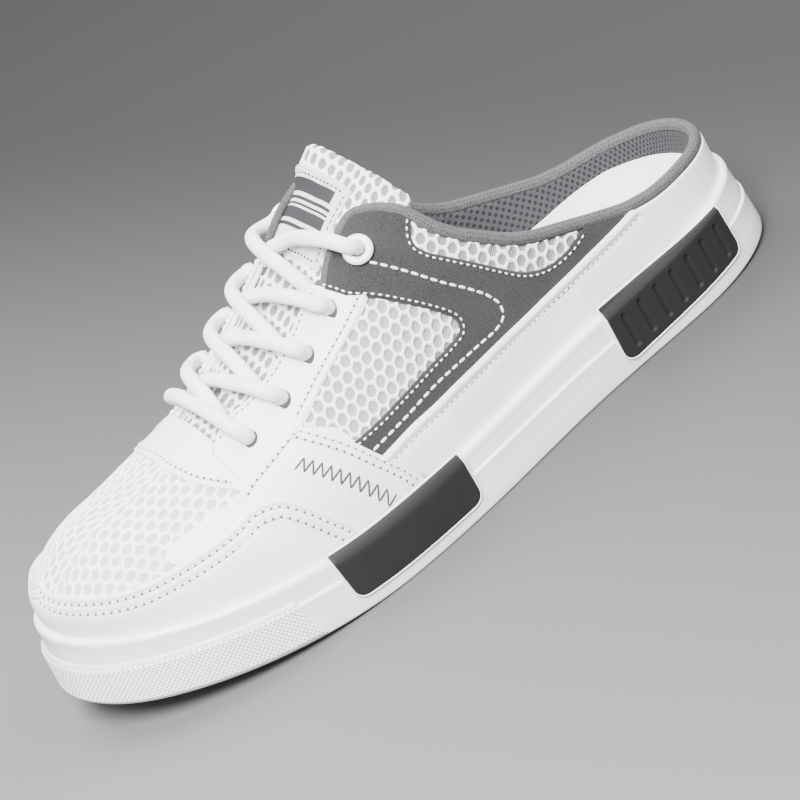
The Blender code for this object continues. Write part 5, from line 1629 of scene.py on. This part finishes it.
# %% Blocks and bumper
def block(name, rear, front, low, climb, slots, side, slot):
    """Dark block between two shares of the length, its low edge climbing towards the rear end."""
    s0, s1 = float(station_of(rear)), float(station_of(front))
    tall = float(wall_height(np.array((rear + front) / 2)))
    high, r = tall + 0.0010, 0.0040
    span = (s1 - s0) * SOLE_LENGTH * math.pi / 2 * math.sin(math.pi * (s0 + s1) / 2)
    q = r / span * (s1 - s0)
    arc = np.linspace(0, math.pi / 2, 7)
    corner = [(s0 + q * (1 - math.cos(t)), low + climb + r * (1 - math.sin(t))) for t in arc]
    other = [(s1 - q * (1 - math.sin(t)), low + r * (1 - math.cos(t))) for t in arc]
    lean, set_in = (0.0, 0.45 * q) if slots else (0.4 * q, 0.0)
    p = np.array([(s0 + set_in, high)] + corner + other + [(s1 + lean, high), (s0 + set_in, high)])
    loop = run_straight(p * BLOCK_FACE.scale, 0.0008) / BLOCK_FACE.scale
    turn = (lambda p: p) if side == "outer" else mirrored
    ways = []
    for i in range(slots):
        s = station_of(rear + (front - rear) * (i + 0.8) / (slots + 0.6))
        up = climb * (1 - (i + 0.8) / (slots + 0.6))
        ways.append(np.array([(float(s) + 0.10 * (h - 0.014), h + up)
                              for h in np.linspace(0.0080, 0.0192, 12)]))

    def slotted(flat, edge, here):
        deep = np.zeros(len(flat))
        for way in ways:
            gap = distances(here, BLOCK_FACE.place(turn(way), np.zeros(len(way))))
            deep = np.maximum(deep, smooth(-gap, -0.00115, -0.00075))
        return -0.0006 * deep, np.zeros(len(flat))

    piece = panel(name, BLOCK_FACE, [turn(loop)], BLOCK, slot, top=-0.0017, bottom=0.0006, roll=0.0005,
                  pitch=0.00045 if slots else 0.0016, relief=slotted)
    rim = BLOCK_FACE.shift(turn(loop), -0.0003 if signed_area(turn(loop)) > 0 else 0.0003, True)
    middle = BLOCK_FACE.place(rim, np.full(len(rim), -0.0010))
    inward = BLOCK_FACE.place(rim, np.full(len(rim), 0.0003))
    sweep(name + "_rim", middle, middle - inward, oval(0.0009, 0.0014, 8),
          SIDEWALL, closed=True)
    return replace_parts(piece, slot)


for side in ("outer", "inner"):
    block("fore_rubber_" + side, 0.527, 0.710, 0.0053, 0.0, 0, side, "block_fore_" + side)
    block("heel_rubber_" + side, 0.083, 0.284, 0.0045, 0.0028, 7, side, "block_heel_" + side)


def bumper():
    """Dotted band round the toe, its ends slanting."""
    rows, columns = 56, 800
    start = float(station_of(0.757))
    low, high = 0.0010, 0.0160
    h = np.linspace(low, high, rows)[:, None] * np.ones(columns)
    slant = 0.010 * (h - low) / (high - low)
    begin = start + slant
    s = begin + (2 - 2 * begin) * np.linspace(0, 1, columns)[None]
    flat = np.column_stack([s.ravel(), h.ravel()])
    grid = WALL.place(flat, np.zeros(len(flat))).reshape(rows, columns, 3)
    travel = np.cumsum(np.linalg.norm(np.diff(grid, axis=1, prepend=grid[:, :1]), axis=2), 1)
    travel -= travel[:, columns // 2:columns // 2 + 1]
    a = (travel + h) / 0.00175 * math.pi
    b = (travel - h) / 0.00175 * math.pi
    dots = (np.abs(np.cos(a)) * np.abs(np.cos(b))) ** 1.2
    edge = np.minimum(np.minimum(h - low, high - h),
                      np.minimum(travel - travel[:, :1], travel[:, -1:] - travel))
    rim = np.clip(edge / 0.0009, 0, 1)
    proud = 0.0006 * np.sqrt(1 - (1 - rim) ** 2) + 0.00062 * dots * smooth(edge, 0.0007, 0.0011)
    top = WALL.place(flat, -proud.ravel())
    bottom = WALL.place(flat, np.full(len(flat), 0.0006))
    corners = [i * columns + j for i in range(rows - 1) for j in range(columns - 1)]
    faces = [t for c in corners for t in ((c, c + 1, c + 1 + columns), (c, c + 1 + columns, c + columns))]
    points, faces = solid_between(top, bottom, faces)
    piece = new_object("toe_dots", points, faces, DOTTED)
    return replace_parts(piece, "toe_bumper")


bumper()
print("four blocks and the bumper")

# %% [markdown]
# Seams. White thread on white leather reads as short grey slits between the dashes, painted as dark
# marks of shade in the gaps. The suede has a black and white twist just inside its edges and one line of
# long white stitches.

# %% Stitching
def seam(name, paths, pitch, long, wide, thread, depth, holes=True, offset=0.0):
    """Rows of stitches with a dark mark of painted shade in each gap."""
    beads(name, [even_places(c, p, pitch, depth, offset) for c, p in paths], long, wide, 0.00028, thread)
    # Painted shade: a dark mark in each gap between the stitches.
    if holes:
        beads(name + "_gap_shade", [even_places(c, p, pitch, depth + 0.00005, offset + 0.5) for c, p in paths],
              pitch - long + 0.0002, wide * 1.15, 0.00014, STITCH_GAP_SHADE)


def each_side(chart, path):
    return [(chart, path), (chart, mirrored(path))]


throat_line = ROUND.shift(ROUND.curve(outer(THROAT)), -0.0020)
seam("guard_stitches", [(ROUND, row_one), (ROUND, row_two)], 0.0027, 0.0020, 0.0008, WHITE_THREAD,
     -0.00052)
seam("strap_stitches", each_side(ROUND, ROUND.shift(strap_front, -0.0028))
     + each_side(ROUND, ROUND.shift(strap_rear, -0.0016))
     + each_side(ROUND, ROUND.shift(strap_rear, -0.0040)),
     0.0026, 0.0019, 0.0008, WHITE_THREAD, -0.0005)
seam("eyestay_stitches", each_side(ROUND, throat_line)
     + each_side(ROUND, ROUND.shift(ROUND.curve(outer(WINDOW_FRONT)), -0.0030)),
     0.0024, 0.0018, 0.0007, WHITE_THREAD, 0.0003)
seam("band_stitches", [(HOOP, HOOP.shift(band_edge, -0.0024)[6:-6])], 0.0025, 0.0018, 0.0008, WHITE_THREAD,
     0.0001)
seam("quarter_stitches", each_side(ROUND, dash), 0.0024, 0.0015, 0.0006, WHITE_THREAD,
     -0.0004)
twist_paths = [ROUND.shift(ROUND.curve(outer(COLLAR_WINDOW)), 0.0014),
               ROUND.shift(ROUND.curve((outer(SEAM[:0:-1]) + (LAP, 0)).tolist() + outer(WINDOW_TOP).tolist()
                                       + outer(WINDOW_LOW).tolist()), -0.0013)[4:]]
LONG_LINE = ((0.480, 0.587), (0.457, 0.475), (0.428, 0.355), (0.402, 0.274), (0.387, 0.224), (0.381, 0.189),
             (0.385, 0.166), (0.398, 0.158), (0.428, 0.166), (0.476, 0.185), (0.525, 0.212), (0.583, 0.239),
             (0.605, 0.247))  # along, rise
twists = [spot for p in twist_paths for spot in each_side(ROUND, p)]
seam("twist_white", twists, 0.0024, 0.0013, 0.0007, WHITE_THREAD, -0.0001, holes=False)
seam("twist_black", twists, 0.0024, 0.0013, 0.0007, BLACK_THREAD_AND_HOLE_SHADE, -0.0001, holes=False,
     offset=0.5)
seam("long_stitches", each_side(ROUND, ROUND.curve(outer(LONG_LINE))), 0.0034, 0.0026, 0.0010, WHITE_THREAD,
     -0.0001, holes=False)

print("seams", [o.name for o in bpy.data.objects if "stitches" in o.name])


# %% [markdown]
# A zigzag of dark thread runs down the strap. Each leg is one long stitch, square to the leather.

# %% Zigzag
def zigzag(turn):
    """Middle, direction and normal of each leg of eleven teeth on the strap."""
    peaks = np.linspace((0.6690, 0.425), (0.6070, 0.100), 11)
    troughs = np.linspace((0.6850, 0.421), (0.6240, 0.089), 11)
    ends = [q for pair in zip(troughs, peaks) for q in pair]
    spots = []
    for a, b in zip(ends[:-1], ends[1:]):
        pa, pb = (ROUND.place(turn(outer((q,))), np.array([-0.0003]))[0] for q in (a, b))
        deep = ROUND.place(turn(outer(((a + b) / 2,))), np.array([0.0007]))[0]
        middle = ROUND.place(turn(outer(((a + b) / 2,))), np.array([-0.0003]))[0]
        out = (middle - deep) / np.linalg.norm(middle - deep)
        spots.append((middle, (pb - pa), out))
    return spots


for side, turn in (("outer", lambda p: np.array(p, float)), ("inner", mirrored)):
    legs = zigzag(turn)
    length = float(np.mean([np.linalg.norm(way) for _, way, _ in legs]))
    packed = [(np.array([m]), np.array([w / np.linalg.norm(w)]), np.array([o])) for m, w, o in legs]
    beads("zigzag_" + side, packed, length * 1.03, 0.00075, 0.0004, BROWN_THREAD,
          sides=8)
print("zigzag legs", len(legs))


# %% [markdown]
# The photograph has one large soft light above the outer side, a weak one behind the heel and a fill
# over the far side. The key is a disc most of a metre wide, so the shadow under the toe is soft.

# %% Light
def area_light(name, place, aim, size, power):
    data = bpy.data.lights.new(name, "AREA")
    data.shape, data.size, data.energy = "DISK", size, power
    light = bpy.data.objects.new(name, data)
    bpy.context.scene.collection.objects.link(light)
    light.location = place
    light.rotation_euler = (Vector(aim) - Vector(place)).to_track_quat("-Z", "Y").to_euler()


area_light("key_light", (0.45, 0.8, 1.2), (0, 0, 0.03), 0.8, 108)
area_light("rear_light", (-0.9, 0.3, 0.9), (0, 0, 0.03), 0.8, 18)
area_light("top_light", (0.1, -0.6, 1.3), (0, 0, 0.03), 1.0, 36)
world = bpy.data.worlds.new("studio")
world.use_nodes = True
world.node_tree.nodes["Background"].inputs[0].default_value = (0.9, 0.93, 1.0, 1)
world.node_tree.nodes["Background"].inputs[1].default_value = 0.60
bpy.context.scene.world = world

# %% [markdown]
# The camera keeps the photograph's angle to the shoe. It stands above the floor, well back with a long
# lens, and is rolled, so that the level shoe crosses the picture from corner to corner.

# %% Camera
CAMERA_AZIMUTH, CAMERA_HEIGHT, CAMERA_ROLL = math.radians(17.02), math.radians(26.26), math.radians(-30.2)
CAMERA_DISTANCE, SENSOR, PICTURE_WIDTH, FOCAL_PIXELS = 0.933, 36, 800, 2820
CAMERA_AIM, CAMERA_RIGHT, CAMERA_DOWN = (0.145, 0, 0.040), 0.0065, 0.0112  # aim in the heel's frame
back = np.array([math.sin(CAMERA_AZIMUTH) * math.cos(CAMERA_HEIGHT),
                 math.cos(CAMERA_AZIMUTH) * math.cos(CAMERA_HEIGHT), math.sin(CAMERA_HEIGHT)])
level = np.cross((0, 0, 1), back)
level /= np.linalg.norm(level)
up = np.cross(back, level)
right = math.cos(CAMERA_ROLL) * level + math.sin(CAMERA_ROLL) * up
top = math.cos(CAMERA_ROLL) * up - math.sin(CAMERA_ROLL) * level
place = np.array(CAMERA_AIM) - MIDDLE + back * CAMERA_DISTANCE + right * CAMERA_RIGHT - top * CAMERA_DOWN
data = bpy.data.cameras.new("photo_camera")
data.lens, data.sensor_width, data.clip_start = FOCAL_PIXELS / PICTURE_WIDTH * SENSOR, SENSOR, 0.05
camera = bpy.data.objects.new("photo_camera", data)
bpy.context.scene.collection.objects.link(camera)
turn = np.eye(4)
turn[:3, 0], turn[:3, 1], turn[:3, 2], turn[:3, 3] = right, top, back, place
camera.matrix_world = Matrix(turn.tolist())
bpy.context.scene.camera = camera
print("camera lens", round(data.lens, 1), "mm")


# %% [markdown]
# The floor is plain paper with a painted fall-off of light: its colour is painted darker away from the
# viewer, as under one soft light.

# %% Floor
def painted_falloff_paint(at, flat, mark):
    """Painted shade: grey that darkens up the picture, between two distances from the shoe."""
    away = at.part(0) * float(top[0]) + at.part(1) * float(top[1])
    return {"Base Color": away.step(-0.16, 0.16).mix((0.135, 0.135, 0.138), (0.014, 0.014, 0.015))}


bpy.ops.mesh.primitive_plane_add(size=4)
floor = bpy.context.object
floor.name = "floor"
floor.data.materials.append(finish("backdrop_paper_painted_falloff", 0.9, painted_falloff_paint))
